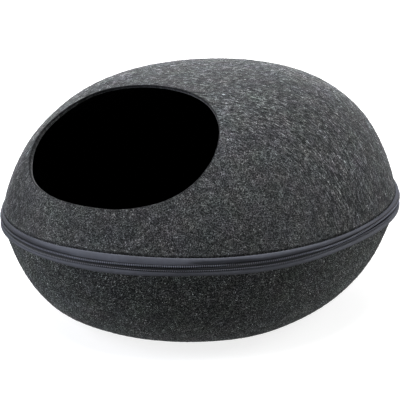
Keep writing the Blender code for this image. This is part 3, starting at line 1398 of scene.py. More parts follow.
@dataclass(frozen=True)
class FeltWall:
    """How the felt's wall is made from its outer face: thickness, cut edges and unevenness."""

    thickness: float = 0.0045
    corner: float = 0.0009
    corner_steps: int = 3
    face_steps: int = 6
    face_crown: float = 0.0001
    layer_line: float = 0.45
    layer_groove: float = 0.00012
    groove_share: float = 0.08
    waver: Waver = Waver(0.00035, 0.055)
    ripple: Waver = Waver(0.00012, 0.011, 40.0)
    waver_off_zip: Pair = (0.012, 0.030)
    waver_off_floor: Pair = (0.002, 0.02)
    swells: tuple[Swell, ...] = ()
    swell_off_zip: Pair = (0.006, 0.022)
    swell_off_floor: Pair = (0.0, 0.012)

    def uneven(self, points: Numbers, zip_height: float, seed: float) -> Numbers:
        """How far the moulded felt stands off its true form.

        Args:
            points: Points of the outer face.
            zip_height: Height of the zip line, where the felt is held true.
            seed: Shift of the noise.

        Returns:
            Distances along the normal.
        """
        height = points[..., 2]
        away = np.abs(height - zip_height)
        free = smooth_step(away, *self.waver_off_zip) * smooth_step(height, *self.waver_off_floor)
        held = smooth_step(away, *self.swell_off_zip) * smooth_step(height, *self.swell_off_floor)
        wavers = self.waver.at(points, seed) + self.ripple.at(points, seed)
        return free * wavers + held * sum(place.at(points) for place in self.swells)

    def rounding(self, turn: float) -> Pair:
        """How far a rounded corner draws back along and into the felt at a turn round it."""
        return self.corner * (1.0 - math.sin(turn)), self.corner * (1.0 - math.cos(turn))

    def cut_profile(self) -> list[Pair]:
        """Section of a cut edge, from the outer face round to the inner face.

        Returns:
            Pairs of distance past the square edge's plane, and of depth into the felt.
        """
        profile = []
        for step in range(1, self.corner_steps + 1):
            back, depth = self.rounding(QUARTER_TURN * step / self.corner_steps)
            profile.append((-back, depth))
        flat = self.thickness - 2.0 * self.corner
        for step in range(1, self.face_steps):
            part = step / self.face_steps
            groove = self.layer_groove * mound(part - self.layer_line, self.groove_share)
            past = self.face_crown * math.sin(math.pi * part) - groove
            profile.append((past, self.corner + flat * part))
        for step in range(self.corner_steps):
            back, depth = self.rounding(QUARTER_TURN * (1.0 - step / self.corner_steps))
            profile.append((-back, self.thickness - depth))
        return profile

    def cut_rows(
        self,
        edge: Numbers,
        normal: Numbers,
        onward: Numbers,
        lean: Numbers | float = 0.0,
        wall: Numbers | float | None = None,
    ) -> list[Numbers]:
        """Rows of a cut edge.

        Args:
            edge: The outer face's last row, on the square edge.
            normal: The face's normals there.
            onward: Unit directions in the face, past the edge.
            lean: How far the knife's lean sets the inner corner back, at each column.
            wall: The felt's thickness at each column, where it isn't the wall's own.

        Returns:
            Rows of points from the outer corner to the inner corner.
        """
        rows = []
        squeeze = np.asarray(1.0 if wall is None else wall / self.thickness)
        for past, depth in self.cut_profile():
            back = np.asarray(lean) * max(depth - self.corner, 0.0) / self.thickness
            out = np.asarray(past - back)[..., None]
            sunk = np.asarray(depth * squeeze)[..., None]
            rows.append(edge + onward * out - normal * sunk)
        return rows

    def cut_layers(self) -> list[FeltPart]:
        """Which layer of the felt each band of a cut edge shows.

        Returns:
            The layers, from the outer corner to the inner corner.
        """
        split = self.corner + (self.thickness - 2.0 * self.corner) * self.layer_line
        depths = [0.0] + [depth for _, depth in self.cut_profile()]
        middles = [(low + high) / 2.0 for low, high in zip(depths, depths[1:])]
        outer, inner = FeltPart.CUT_OUTER_PAINTED_SHADE, FeltPart.CUT_INNER_LAYER
        return [outer if middle < split else inner for middle in middles]


@dataclass(frozen=True)
class FibrePile:
    """Short loose fibres that stand a little off a shell's outer face."""

    name: str
    count: int
    seed: int
    length: Pair = (0.0018, 0.0060)
    width: float = 0.00012
    width_spread: Pair = (0.6, 1.5)
    roll: Pair = (-0.8, 0.8)
    lift: Pair = (0.04, 0.32)
    lift_power: float = 1.5
    tip_lift: float = 0.4
    curl: float = 0.9
    root_depth: float = 0.00015
    floor_clear: float = 0.0003

    def roots(
        self, points: Numbers, normals: Numbers, keep: Numbers, grown: Numbers
    ) -> tuple[Numbers, Numbers, Numbers]:
        """Places for the fibres' roots, even over the face.

        Args:
            points: Points of the face, by row and column.
            normals: Its normals.
            keep: Share of fibres to keep at each point, 0 to 1.
            grown: Share of their length that fibres reach at each point, 0 to 1.

        Returns:
            The roots, and the normals and the share of length there.
        """
        chance = np.random.default_rng(self.seed)
        low, high = points[:-1], points[1:]
        right = np.roll(low, -1, axis=1)
        area = np.linalg.norm(np.cross(right - low, high - low), axis=-1) * keep[:-1]
        share = np.cumsum(area.ravel())
        picked = np.searchsorted(share, chance.random(self.count) * share[-1])
        row, column = np.divmod(np.minimum(picked, area.size - 1), points.shape[1])
        following = (column + 1) % points.shape[1]
        across = chance.random((self.count, 1))
        along = chance.random((self.count, 1))

        def blended(values: Numbers) -> Numbers:
            """Blend values of the face's points at the picked places.

            Args:
                values: The values, by row and column.

            Returns:
                The values there.
            """
            near = values[row, column] * (1.0 - across) + values[row, following] * across
            far = values[row + 1, column] * (1.0 - across) + values[row + 1, following] * across
            return near * (1.0 - along) + far * along

        return blended(points), blended(normals), blended(grown[..., None])

    def build(self, points: Numbers, normals: Numbers, keep: Numbers, grown: Numbers) -> Piece:
        """Grow the fibres on a face, as one mesh of tapered ribbons.

        Args:
            points: Points of the face, by row and column.
            normals: Its normals.
            keep: Share of fibres to keep at each point, 0 to 1.
            grown: Share of their length that fibres reach at each point, 0 to 1.

        Returns:
            The pile.
        """
        roots, normals, grown = self.roots(points, normals, keep, grown)
        chance = np.random.default_rng(self.seed + 1)
        column = (self.count, 1)
        normals = unit(normals)
        side = unit(np.cross(normals, chance.normal(size=(self.count, 3))))
        other = np.cross(normals, side)
        length = chance.uniform(*self.length, column) * grown
        lift = chance.uniform(*self.lift, column) ** self.lift_power
        bend = chance.normal(0.0, self.curl, column)
        first = side + lift * normals
        second = side * np.cos(bend) + other * np.sin(bend) + lift * self.tip_lift * normals
        start = roots - normals * self.root_depth
        middle = start + first * length * 0.5
        tip = middle + second * length * 0.5
        width = self.width * chance.uniform(*self.width_spread, column)
        roll = chance.uniform(*self.roll, column)
        flat = unit(np.cross(normals, first))
        aside = (flat * np.cos(roll) + normals * np.sin(roll)) * width
        corners = np.stack((start - aside, start + aside, middle - aside, middle + aside, tip), axis=1)
        corners[..., 2] = np.maximum(corners[..., 2], self.floor_clear)
        base = np.arange(self.count)[:, None] * corners.shape[1]
        mesh = fill_mesh(self.name, corners, [base + [[0, 1, 3, 2]], base + [[2, 3, 4]]])
        dress_mesh(mesh, [PileFinish()])
        return add_piece(self.name, mesh)


# How far the entrance's edge stands outside its oval, from 0 at its back.
RIM_SHIFT = RoundTable(
    ((0, 1.2), (18, 3.0), (43, 3.2), (65, 2.7), (80, 1.3), (103, 0.9), (122, 0.8), (131, 0.2),
     (142, 0.6), (154, 0.4), (168, -0.7), (190, -0.3), (217, 0.4), (243, 3.2), (262, 5.0),
     (274, 4.6), (285, 3.0), (294, 0.8), (304, -1.0), (314, -1.5), (325, -1.4), (339, -0.6))
)
# How far the knife's lean sets the entrance's inner edge back.
RIM_LEAN = RoundTable(
    ((0, 1.6), (30, 0.9), (80, 1.0), (200, 1.0), (245, 0.2), (262, -0.6), (280, 0.4), (300, 1.4),
     (340, 1.6))
)
# Thickness of the felt at the entrance's edge.
RIM_WALL = RoundTable(
    ((0, 3.7), (25, 4.2), (60, 4.5), (240, 4.6), (262, 4.8), (285, 4.4), (300, 3.7), (330, 3.6))
)
# Depth of the crease that the upper tape presses into the dome.
LIP_CREASE = RoundTable(
    ((0, 1.0), (90, 0.9), (112, 0.8), (120, 0.6), (127, 0.3), (133, 0.3), (140, 0.8), (148, 0.8),
     (153, 0.35), (160, 0.35), (168, 0.9), (178, 0.8), (184, 0.5), (192, 1.0), (300, 1.0))
)
# Distances of the tapes' free edges from the zip line.
UPPER_EDGE = RoundTable(
    ((0, 8.8), (45, 8.6), (73, 8.1), (101, 7.9), (115, 7.8), (126, 8.3), (137, 8.8), (147, 9.9),
     (158, 10.4), (169, 10.4), (183, 8.8), (191, 8.0), (201, 7.6), (214, 7.7), (240, 8.2),
     (270, 8.5), (315, 8.6))
)
LOWER_EDGE = RoundTable(
    ((0, 8.2), (58, 7.8), (74, 6.2), (98, 6.2), (108, 8.2), (115, 9.4), (121, 10.0), (126, 10.3),
     (132, 9.8), (139, 8.3), (148, 8.2), (158, 8.9), (166, 10.0), (183, 9.7), (192, 8.7),
     (205, 8.2), (270, 8.4))
)
# Broad places where the moulded felt swells or sinks.
DOME_SWELLS = (
    Swell((-0.118, -0.108, 0.225), 0.040, -0.0012),
    Swell((-0.108, -0.150, 0.203), 0.030, 0.0014),
    Swell((-0.078, -0.010, 0.256), 0.035, 0.0007),
    Swell((0.105, 0.114, 0.226), 0.055, 0.0009),
)
BOWL_SWELLS = (
    Swell((0.128, -0.092, 0.017), 0.050, 0.0017),
    Swell((-0.052, -0.194, 0.040), 0.036, 0.0017),
    Swell((0.185, 0.060, 0.085), 0.045, 0.0013),
)


@dataclass
class FeltShell:
    """What the dome and the bowl share: the egg's form, their columns and their finishes."""

    name: ClassVar[str]
    stands_for: ClassVar[str]
    outside: ClassVar[FeltFinish]
    form: EggForm
    columns: int = 480

    def upright(self, height: float) -> Numbers:
        """The same upright direction for every column: up for 1, down for -1."""
        return np.tile((0.0, 0.0, height), (self.columns, 1))

    def add(self, points: Numbers, faces: Sequence[Numbers], parts: Numbers) -> Piece:
        """Make a closed wall a piece of the cave, dressed part by part.

        Args:
            points: The wall's points.
            faces: Its faces.
            parts: The part of the wall that each face belongs to.

        Returns:
            The shell.
        """
        mesh = fill_mesh(self.name, points, faces)
        dress_mesh(mesh, [self.outside, CUT_OUTER_PAINTED_SHADE, CUT_INNER_LAYER, INSIDE], parts)
        face_outward(mesh)
        piece = add_piece(self.name, mesh)
        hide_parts(self.stands_for)
        return piece


@dataclass
class FeltDome(FeltShell):
    """Upper felt shell with the oval entrance."""

    name: ClassVar[str] = "dome_shell"
    stands_for: ClassVar[str] = "felt_dome"
    outside: ClassVar[FeltFinish] = DOME_OUTSIDE
    wall: FeltWall = FeltWall(swells=DOME_SWELLS)
    seed: float = 3.0
    even_rows: int = 84
    inner_rows: int = 24
    rows_above_tape: tuple[float, ...] = (19.0, 17.2, 15.6, 14.2, 13.1)
    rows_at_crease: Triple = (12.4, 6.7, 0.3)
    rows_under_tape: tuple[float, ...] = (5.5, 3.5, 1.5, 0.0)
    rim_shift: RoundTable = RIM_SHIFT
    rim_lean: RoundTable = RIM_LEAN
    rim_wall: RoundTable = RIM_WALL
    rim_wander: Waver = Waver(0.00035, 0.028, 11.0)
    rim_fray: Waver = Waver(0.00012, 0.0035, 17.0)
    rim_follow: Triple = (1.0, 0.6, 0.25)
    crease: RoundTable = LIP_CREASE
    crease_width: float = 0.0007
    crease_above_tape: float = 0.0001
    crease_pull: Waver = Waver(0.25, 0.012, 31.0)
    spring_back: float = 0.0006
    spring_above_tape: float = 0.0026
    spring_width: float = 0.0016
    flat_size: Pair = (0.53, 0.58)
    flat_area: float = 0.215
    pile: FibrePile = FibrePile("dome_pile", 62000, 101)
    pile_above_zip: Pair = (0.0098, 0.0115)
    pile_off_rim: Pair = (0.0004, 0.0020)
    pile_full_off_rim: Pair = (0.0010, 0.0070)
    pile_at_rim: float = 0.25

    def near_lip(self) -> Numbers:
        """Falling distances from the zip line of the rows near the lip, close over the crease.

        Returns:
            The distances.
        """
        far, near, step = self.rows_at_crease
        at_crease = np.arange(far, near, -step)
        return np.array([*self.rows_above_tape, *at_crease, *self.rows_under_tape]) / MM_IN_METRE

    def outer_face(self) -> tuple[Numbers, Numbers]:
        """Outer face from the entrance's edge out to the lip.

        Returns:
            Points and outward normals, by row and column.
        """
        angles = self.form.even_angles(self.columns)
        points = self.form.dome_rows(angles, self.even_rows, self.near_lip(), self.rim_shift)
        normals = grid_normals(points)
        if np.mean(normals[..., 2]) < 0.0:
            normals = -normals
        lift = self.wall.uneven(points, self.form.bowl_depth, self.seed)
        past = points[..., 2] - self.form.bowl_depth - UPPER_EDGE.at(angles)
        pull = 1.0 - self.crease_pull.height + self.crease_pull.at(points[-1])
        crease = mound(past - self.crease_above_tape, self.crease_width)
        lift -= self.crease.at(angles) * pull * crease
        lift += self.spring_back * mound(past - self.spring_above_tape, self.spring_width)
        points = points + normals * lift[..., None]
        inward = unit(points[0] - points[1])
        wander = self.rim_wander.at(points[0]) + self.rim_fray.at(points[0])
        for row, follow in enumerate(self.rim_follow):
            points[row] += inward * (wander * follow)[:, None]
        return points, normals

    def build(self) -> Piece:
        """Build the shell's closed wall and dress it.

        Returns:
            The shell.
        """
        outer, normals = self.outer_face()
        wall = self.wall
        inward = unit(outer[0] - outer[1])
        edge = outer[0].copy()
        outer[0] = edge - inward * wall.corner
        turns = np.arctan2(edge[:, 0], edge[:, 1] - self.form.entrance_y)
        lean, rim = self.rim_lean.at(turns), self.rim_wall.at(turns)
        entrance_cut = wall.cut_rows(edge, normals[0], inward, lean, rim)
        keep = np.linspace(0, len(outer) - 1, self.inner_rows).round().astype(int)
        inside = outer[keep] - normals[keep] * wall.thickness
        inside[0] = edge - inward * (lean + wall.corner)[:, None] - normals[0] * rim[:, None]
        down = self.upright(-1.0)
        lip_edge = outer[-1].copy()
        outer[-1] = lip_edge - down * wall.corner
        inside[-1] = lip_edge - normals[-1] * wall.thickness - down * wall.corner
        lip_cut = wall.cut_rows(lip_edge, normals[-1], down)
        grid = np.array([*outer[::-1], *entrance_cut, *inside[1:], *lip_cut[::-1]])
        bands = [FeltPart.OUTSIDE] * (len(outer) - 1) + wall.cut_layers()
        bands += [FeltPart.INSIDE] * (len(grid) - len(bands))
        faces = [band_faces(len(grid), self.columns, True)]
        return self.add(grid, faces, np.repeat(bands, self.columns))

    def build_pile(self) -> Piece:
        """Grow the loose fibres, clear of the tape and short at the entrance's edge.

        Returns:
            The pile.
        """
        points, normals = self.outer_face()
        from_rim = np.linalg.norm(points - points[0], axis=-1)
        keep = smooth_step(points[..., 2] - self.form.bowl_depth, *self.pile_above_zip)
        keep = keep * smooth_step(from_rim, *self.pile_off_rim)
        grown = smooth_step(from_rim, *self.pile_full_off_rim)
        grown = self.pile_at_rim + (1.0 - self.pile_at_rim) * grown
        return self.pile.build(points, normals, keep, grown)


@dataclass
class FeltBowl(FeltShell):
    """Lower felt shell with the flat base."""

    name: ClassVar[str] = "bowl_shell"
    stands_for: ClassVar[str] = "felt_bowl"
    outside: ClassVar[FeltFinish] = BOWL_OUTSIDE
    wall: FeltWall = FeltWall(swells=BOWL_SWELLS)
    seed: float = 21.0
    rows: int = 84
    base_rows: int = 12
    inner_rows: int = 26
    flat_size: Pair = (0.50, 0.56)
    flat_area: float = 0.222
    pile: FibrePile = FibrePile("bowl_pile", 54000, 202)
    pile_below_zip: Pair = (0.0083, 0.0100)
    pile_off_floor: Pair = (0.001, 0.004)

    def outer_face(self) -> tuple[Numbers, Numbers]:
        """Outer face from the lip down to the base's edge.

        Returns:
            Points and outward normals, by row and column.
        """
        angles = self.form.even_angles(self.columns)
        angle, stop = np.meshgrid(angles, np.linspace(0.0, 1.0, self.rows))
        points = self.form.shell_point(Side.LOWER, angle, stop)
        normals = grid_normals(points)
        middle = points.mean(axis=(0, 1))
        if np.mean(np.sum(normals * (points - middle), axis=-1)) < 0.0:
            normals = -normals
        normals[-1] = (0.0, 0.0, -1.0)
        lift = self.wall.uneven(points, self.form.bowl_depth, self.seed)
        return points + normals * lift[..., None], normals

    def build(self) -> Piece:
        """Build the shell's closed wall and dress it.

        Returns:
            The shell.
        """
        outer, normals = self.outer_face()
        wall = self.wall
        up = self.upright(1.0)
        lip_edge = outer[0].copy()
        keep = np.linspace(0, self.rows - 1, self.inner_rows).round().astype(int)
        inside = outer[keep] - normals[keep] * wall.thickness
        outer[0] = lip_edge - up * wall.corner
        inside[0] = lip_edge - normals[0] * wall.thickness - up * wall.corner
        lip_cut = wall.cut_rows(lip_edge, normals[0], up)
        low = np.array((0.0, -self.form.base_forward, 0.0))
        high = low + (0.0, 0.0, wall.thickness)
        shares = np.linspace(1.0, 0.0, self.base_rows + 1)[1:-1]
        under = [low + (outer[-1] - low) * share for share in shares]
        over = [high + (inside[-1] - high) * share for share in shares]
        grid = np.array([*under[::-1], *outer[::-1], *lip_cut, *inside, *over])
        bands = [FeltPart.OUTSIDE] * (len(under) + self.rows - 1)
        bands += [FeltPart.INSIDE] * (len(grid) - 1 - len(bands))
        points = np.concatenate((grid.reshape(-1, 3), low[None], high[None]))
        column = np.arange(self.columns)
        following = (column + 1) % self.columns
        last = (len(grid) - 1) * self.columns
        low_middle, high_middle = (np.full_like(column, len(points) - back) for back in (2, 1))
        low_fan = np.stack((following, column, low_middle), axis=-1)
        high_fan = np.stack((last + column, last + following, high_middle), axis=-1)
        faces = [band_faces(len(grid), self.columns, False), low_fan, high_fan]
        parts = np.repeat([*bands, FeltPart.OUTSIDE, FeltPart.INSIDE], self.columns)
        return self.add(points, faces, parts)

    def build_pile(self) -> Piece:
        """Grow the loose fibres, clear of the tape and of the floor.

        Returns:
            The pile.
        """
        points, normals = self.outer_face()
        keep = smooth_step(self.form.bowl_depth - points[..., 2], *self.pile_below_zip)
        keep = keep * smooth_step(points[..., 2], *self.pile_off_floor)
        return self.pile.build(points, normals, keep, np.ones_like(keep))


# ----- Zip -----

# How far the whole zip bulges out.
ZIP_PROUD = RoundTable(
    ((0, 0.3), (35, 0.8), (50, 1.4), (68, 1.6), (85, 1.1), (105, 0.3), (125, 0.0), (300, 0.0))
)
# How far the zip line wanders below level.
ZIP_DROP = RoundTable(
    ((0, 0.0), (40, 0.0), (60, -0.9), (73, -1.6), (88, -1.7), (101, -0.5), (108, 1.0), (115, 1.8),
     (121, 2.2), (127, 2.2), (132, 1.9), (137, 1.5), (147, 1.1), (158, 1.1), (169, 1.2), (176, 1.6),
     (183, 2.0), (191, 2.3), (201, 2.3), (213, 1.6), (235, 0.5), (250, 0.0))
)
# How far the tapes' free edges stand off the felt.
TAPE_EDGE_OUT = RoundTable(
    ((0, 0.4), (50, 1.1), (75, 1.7), (92, 1.0), (112, 0.0), (186, 0.0), (201, 1.0), (214, 1.7),
     (235, 1.0), (270, 0.4))
)
# Gaps between the zip line and the rows of coil.
UPPER_GAP = RoundTable(
    ((0, 0.5), (60, 0.7), (72, 1.3), (84, 1.0), (92, -0.1), (103, -0.1), (110, 1.1), (132, 1.1),
     (140, 1.1), (150, 1.4), (162, 1.4), (173, 1.1), (205, 1.1), (215, 0.9), (250, 0.6))
)
LOWER_GAP = RoundTable(
    ((0, 0.4), (80, 0.2), (91, -0.3), (103, -0.2), (110, 0.5), (132, 0.5), (142, 0.7), (160, 0.7),
     (172, 0.6), (200, 0.6), (215, 0.5), (250, 0.4))
)
# Widths of the rows of coil.
UPPER_WIDTH = RoundTable(
    ((0, 2.3), (60, 2.3), (76, 3.0), (101, 3.0), (110, 2.4), (134, 2.4), (142, 2.8), (162, 2.8),
     (174, 2.4), (300, 2.3))
)
LOWER_WIDTH = RoundTable(((0, 2.3), (130, 2.3), (141, 1.6), (168, 1.6), (178, 2.3), (300, 2.3)))


@dataclass(frozen=True)
class Valley:
    """A stretch where a tape dips beside the coil: its middle and half width in degrees."""

    middle: float
    half_width: float
    depth: float
    off_coil: float = 0.0006
    flat_share: float = 0.45

    def dip(self, angles: Numbers) -> Numbers:
        """Depth of the dip round the zip.

        Args:
            angles: Turns in radians.

        Returns:
            The depths.
        """
        half_round = DEGREES_ROUND / 2.0
        away = np.abs((np.degrees(angles) - self.middle + half_round) % DEGREES_ROUND - half_round)
        share = 1.0 - smooth_step(away, self.flat_share * self.half_width, self.half_width)
        return share * self.depth


UPPER_VALLEYS = (
    Valley(122.0, 17.0, 0.0017, off_coil=0.0003),
    Valley(137.0, 10.0, 0.0023, off_coil=0.0012),
    Valley(192.0, 17.0, 0.0010),
    Valley(268.0, 16.0, 0.0012),
)


@dataclass
class ZipTape:
    """One woven tape of the zip, folded to a soft roll beside the coil."""

    form: EggForm
    side: Side
    finish: TapeFinish
    edge: float
    edge_line: RoundTable
    edge_thickness: float
    coil_edge: float
    flat_size: Pair
    valleys: tuple[Valley, ...] = ()
    columns: int = 720
    section_steps: int = 2
    gap: float = 0.00025
    tongue_gap_share: float = 0.4
    tongue_start: float = 0.0004
    tongue_inset: float = 0.0003
    tongue_points: int = 6
    edge_shares: Pair = (0.35, 0.25)
    edge_tuck: float = 0.0001
    at_coil: float = 0.0048
    bulge: float = 0.0005
    roll_shares: tuple[float, ...] = (0.10, 0.28, 0.46, 0.64, 0.80, 0.92)
    fold: tuple[Pair, Pair] = ((-0.0004, -0.00005), (-0.0014, 0.0001))
    behind_gap_share: float = 1.6
    behind_step: Pair = (0.0003, -0.0001)
    behind_height: float = 0.0019
    face_depth: Pair = (0.0008, 0.0016)
    wave: float = 0.00018
    wave_reach: float = 0.030
    wave_seed: float = 5.0
    edge_wave_share: float = 0.8
    edge_wave_from: float = 0.5
    fine_share: float = 0.35
    fine_reach: float = 0.009
    fine_seed: float = 9.0
    edge_out_from: float = 0.4
    valley_width: float = 0.0018
    painted_shade_margin: Pair = (0.0002, 0.0004)

    @property
    def name(self) -> str:
        """The piece's name."""
        return f"zip_band_{self.side.name.lower()}"

    def felt(self, away: float) -> float:
        """The felt's flare behind the tape at one distance from the zip line."""
        return float(self.form.flare(self.side, away))

    def section(self) -> Numbers:
        """Closed section of the tape, as depths and distances from the zip line.

        Returns:
            The section's points, from the tongue behind the coil round the free edge.
        """
        edge, inner = self.edge, self.coil_edge
        at_edge = self.felt(edge) + self.gap
        free = at_edge + self.edge_thickness
        away = np.linspace(self.tongue_start, edge - self.tongue_inset, self.tongue_points)
        points = [(self.felt(spot) + self.gap * self.tongue_gap_share, float(spot)) for spot in away]
        back, front = self.edge_shares
        points.append((at_edge + back * self.edge_thickness, edge))
        points.append((free - front * self.edge_thickness, edge - self.edge_tuck))
        for part in self.roll_shares:
            depth = free + (self.at_coil - free) * part + self.bulge * math.sin(math.pi * part)
            points.append((depth, edge + (inner - edge) * part))
        points += [(self.at_coil + inward, inner + outward) for inward, outward in self.fold]
        behind = self.felt(0.0) + self.gap * self.behind_gap_share
        points.append((behind + self.behind_step[0], inner + self.behind_step[1]))
        points.append((behind, self.behind_height))
        points.append((behind, self.tongue_start))
        return rounded(points, self.section_steps)

    def laid(self, section: Numbers, angles: Numbers) -> Numbers:
        """Points of the tape, its section laid along the wandering lines of coil and free edge.

        Args:
            section: The tape's closed section.
            angles: Turns round the egg.

        Returns:
            The points, by section point and turn.
        """
        form, side = self.form, self.side
        flat = np.repeat(section[:, 1:], self.columns, axis=1)
        coil_line = self.coil_edge - side.value * ZIP_DROP.at(angles)
        across = (flat - self.coil_edge) / (self.edge - self.coil_edge)
        on_roll = coil_line + across * (self.edge_line.at(angles) - coil_line)
        height = np.where(across < 0.0, flat * coil_line / self.coil_edge, on_roll)
        depth = section[:, :1] + form.flare(side, height) - form.flare(side, flat)
        face = smooth_step(depth - form.flare(side, height), *self.face_depth)
        plan = form.outline(angles)
        around = np.concatenate((plan, np.zeros((self.columns, 1))), axis=1)
        wave = rolling_noise(around, self.wave_reach, self.wave_seed * side.value)
        fine = rolling_noise(around, self.fine_reach, self.fine_seed + side.value)
        depth = depth + face * (self.wave * wave + self.fine_share * self.wave * fine)
        near_edge = smooth_step(across, self.edge_wave_from, 1.0)
        height = height + near_edge * self.wave * self.edge_wave_share * wave
        depth = depth + face * ZIP_PROUD.at(angles)
        depth = depth + face * (across - self.edge_out_from) * TAPE_EDGE_OUT.at(angles)
        for valley in self.valleys:
            hollow = mound(height - coil_line - valley.off_coil, self.valley_width)
            depth = depth - face * hollow * valley.dip(angles)
        plan = plan + form.outward(angles) * depth[..., None]
        return np.concatenate((plan, (form.bowl_depth + side.value * height)[..., None]), axis=-1)

    def build(self) -> Piece:
        """Sweep the section round the egg and dress it.

        Returns:
            The tape.
        """
        section = self.section()
        angles = self.form.even_angles(self.columns)
        faces = band_faces(len(section), self.columns, True)
        mesh = fill_mesh(self.name, self.laid(section, angles), [faces])
        steps = np.linalg.norm(np.diff(section, axis=0, prepend=section[:1]), axis=1)
        self.lay_weave(mesh, np.cumsum(steps), self.form.length_at(angles))
        # Painted shade: the faces under and behind the coil take a darker copy of the tape.
        deep, high = self.painted_shade_margin
        under = (section[:, 1] < self.coil_edge + high) & (section[:, 0] < self.at_coil + deep)
        dress_mesh(mesh, [self.finish, TAPE_PAINTED_SHADE_UNDER_COIL], np.repeat(under, self.columns))
        face_outward(mesh)
        piece = add_piece(self.name, mesh)
        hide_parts(f"zip_tape_{self.side.name.lower()}")
        return piece

    def lay_weave(self, mesh: Mesh, across: Numbers, along: Numbers) -> None:
        """Give the tape a map in metres along and across itself.

        Args:
            mesh: The tape's mesh.
            across: Distance round the section at each row.
            along: Distance along the zip at each column.
        """
        layer = mesh.uv_layers.new(name="along")
        corners = np.empty(len(mesh.loops), np.int32)
        mesh.loops.foreach_get("vertex_index", corners)
        row, column = np.divmod(corners, self.columns)
        faces = np.stack((along[column], across[row]), axis=-1).reshape(-1, 4, 2)
        total = self.form.length_at(np.array(FULL_TURN))
        over_join = np.ptp(faces[..., 0], axis=1, keepdims=True) > total / 2.0
        faces[..., 0] += np.where(over_join & (faces[..., 0] < total / 2.0), total, 0.0)
        layer.uv.foreach_set("vector", faces.astype(np.float32).ravel())


@dataclass
class ZipCoil:
    """One row of the zip's coil: a nylon wire wound in flattened turns."""

    form: EggForm
    side: Side
    finish: CoilFinish
    gap: RoundTable
    width: RoundTable
    reach: float
    head_sink: float
    valleys: tuple[Valley, ...] = ()
    turns: int = 636
    first_turn: float = 0.0
    steps: int = 10
    sides: int = 5
    line_samples: int = 8
    wire: float = 0.00045
    stand_off: float = 0.0005
    crossing: Pair = (0.30, 0.70)
    squareness: float = 0.75
    head_sink_share: float = 1.6
    head_turn: Pair = (-0.2, 0.4)
    valley_share: float = 0.7
    felt_clear_share: float = 0.6

    @property
    def name(self) -> str:
        """The piece's name."""
        return f"zip_chain_{self.side.name.lower()}"

    def turn_angles(self, turn: Numbers) -> Numbers:
        """Turns round the egg of places along the wire, which steps on halfway through each turn.

        Args:
            turn: The places, in turns of the wire.

        Returns:
            The turns round the egg.
        """
        step = smooth_step(turn % 1.0, *self.crossing)
        along = (np.floor(turn) + step + self.first_turn) / self.turns
        fine = np.append(self.form.even_angles(self.line_samples * self.turns), FULL_TURN)
        return np.interp(along % 1.0, np.linspace(0.0, 1.0, len(fine)), fine)

    def centre_line(self, phase: Numbers, angles: Numbers) -> Numbers:
        """Points along the middle of the wire.

        Args:
            phase: Turns of the wire round itself.
            angles: Turns round the egg.

        Returns:
            The points.
        """
        form = self.form
        inner = form.lip(self.side)[0] + self.stand_off
        half_depth = (self.reach - inner) / 2.0 - self.wire
        sine, cosine = np.sin(phase), np.cos(phase)
        depth = (inner + self.reach) / 2.0 + half_depth * signed_power(cosine, self.squareness)
        half_width = self.width.at(angles) / 2.0
        height = self.gap.at(angles) + half_width
        height += (half_width - self.wire) * signed_power(sine, self.squareness)
        sunk = smooth_step(-sine, 0.0, 1.0) * smooth_step(cosine, *self.head_turn)
        depth -= sunk * min(self.head_sink, self.head_sink_share * half_depth)
        depth += ZIP_PROUD.at(angles)
        for valley in self.valleys:
            depth -= self.valley_share * valley.dip(angles)
        above = self.side.value * height - ZIP_DROP.at(angles)
        felt = np.where(above > 0.0, form.flare(Side.UPPER, above), form.flare(Side.LOWER, above))
        depth = np.maximum(depth, felt + self.felt_clear_share * self.wire)
        plan = form.outline(angles) + form.outward(angles) * depth[:, None]
        return np.concatenate((plan, (form.bowl_depth + above)[:, None]), axis=1)

    def build(self) -> Piece:
        """Wind the wire round the egg and dress it.

        Returns:
            The row of coil.
        """
        count = self.turns * self.steps
        turn = np.arange(count) / self.steps
        phase = FULL_TURN * turn
        angles = self.turn_angles(turn)
        centre = self.centre_line(phase, angles)
        normal = self.form.outward(angles)
        tangent = unit(np.roll(centre, -1, axis=0) - np.roll(centre, 1, axis=0))
        ahead = np.stack((-normal[:, 1], normal[:, 0], np.zeros(count)), axis=-1)
        first = unit(np.cross(tangent, ahead))
        second = np.cross(tangent, first)
        rings = []
        for side in range(self.sides):
            spin = FULL_TURN * side / self.sides
            rings.append(centre + (first * math.cos(spin) + second * math.sin(spin)) * self.wire)
        mesh = fill_mesh(self.name, np.array(rings), [band_faces(self.sides, count, True)])
        # How far forward each point of the wire lies, which the coil's finish uses to paint shade
        # between the turns.
        crown = np.tile(0.5 + 0.5 * np.cos(phase), self.sides).astype(np.float32)
        mesh.attributes.new("crown", "FLOAT", "POINT").data.foreach_set("value", crown)
        dress_mesh(mesh, [self.finish])
        face_outward(mesh)
        piece = add_piece(self.name, mesh)
        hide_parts(f"zip_coil_{self.side.name.lower()}")
        return piece


def zip_tapes(form: EggForm) -> tuple[ZipTape, ZipTape]:
    """The zip's two tapes.

    Args:
        form: The egg's form.

    Returns:
        The upper tape and the lower tape.
    """
    upper = ZipTape(
        form,
        Side.UPPER,
        UPPER_TAPE,
        edge=0.0088,
        edge_line=UPPER_EDGE,
        edge_thickness=0.0006,
        coil_edge=0.0039,
        flat_size=(0.0123, 1.42),
        valleys=UPPER_VALLEYS,
    )
    lower = ZipTape(
        form,
        Side.LOWER,
        LOWER_TAPE_PAINTED_LIGHT,
        edge=0.0083,
        edge_line=LOWER_EDGE,
        edge_thickness=0.0014,
        coil_edge=0.0028,
        flat_size=(0.0107, 1.42),
    )
    return upper, lower


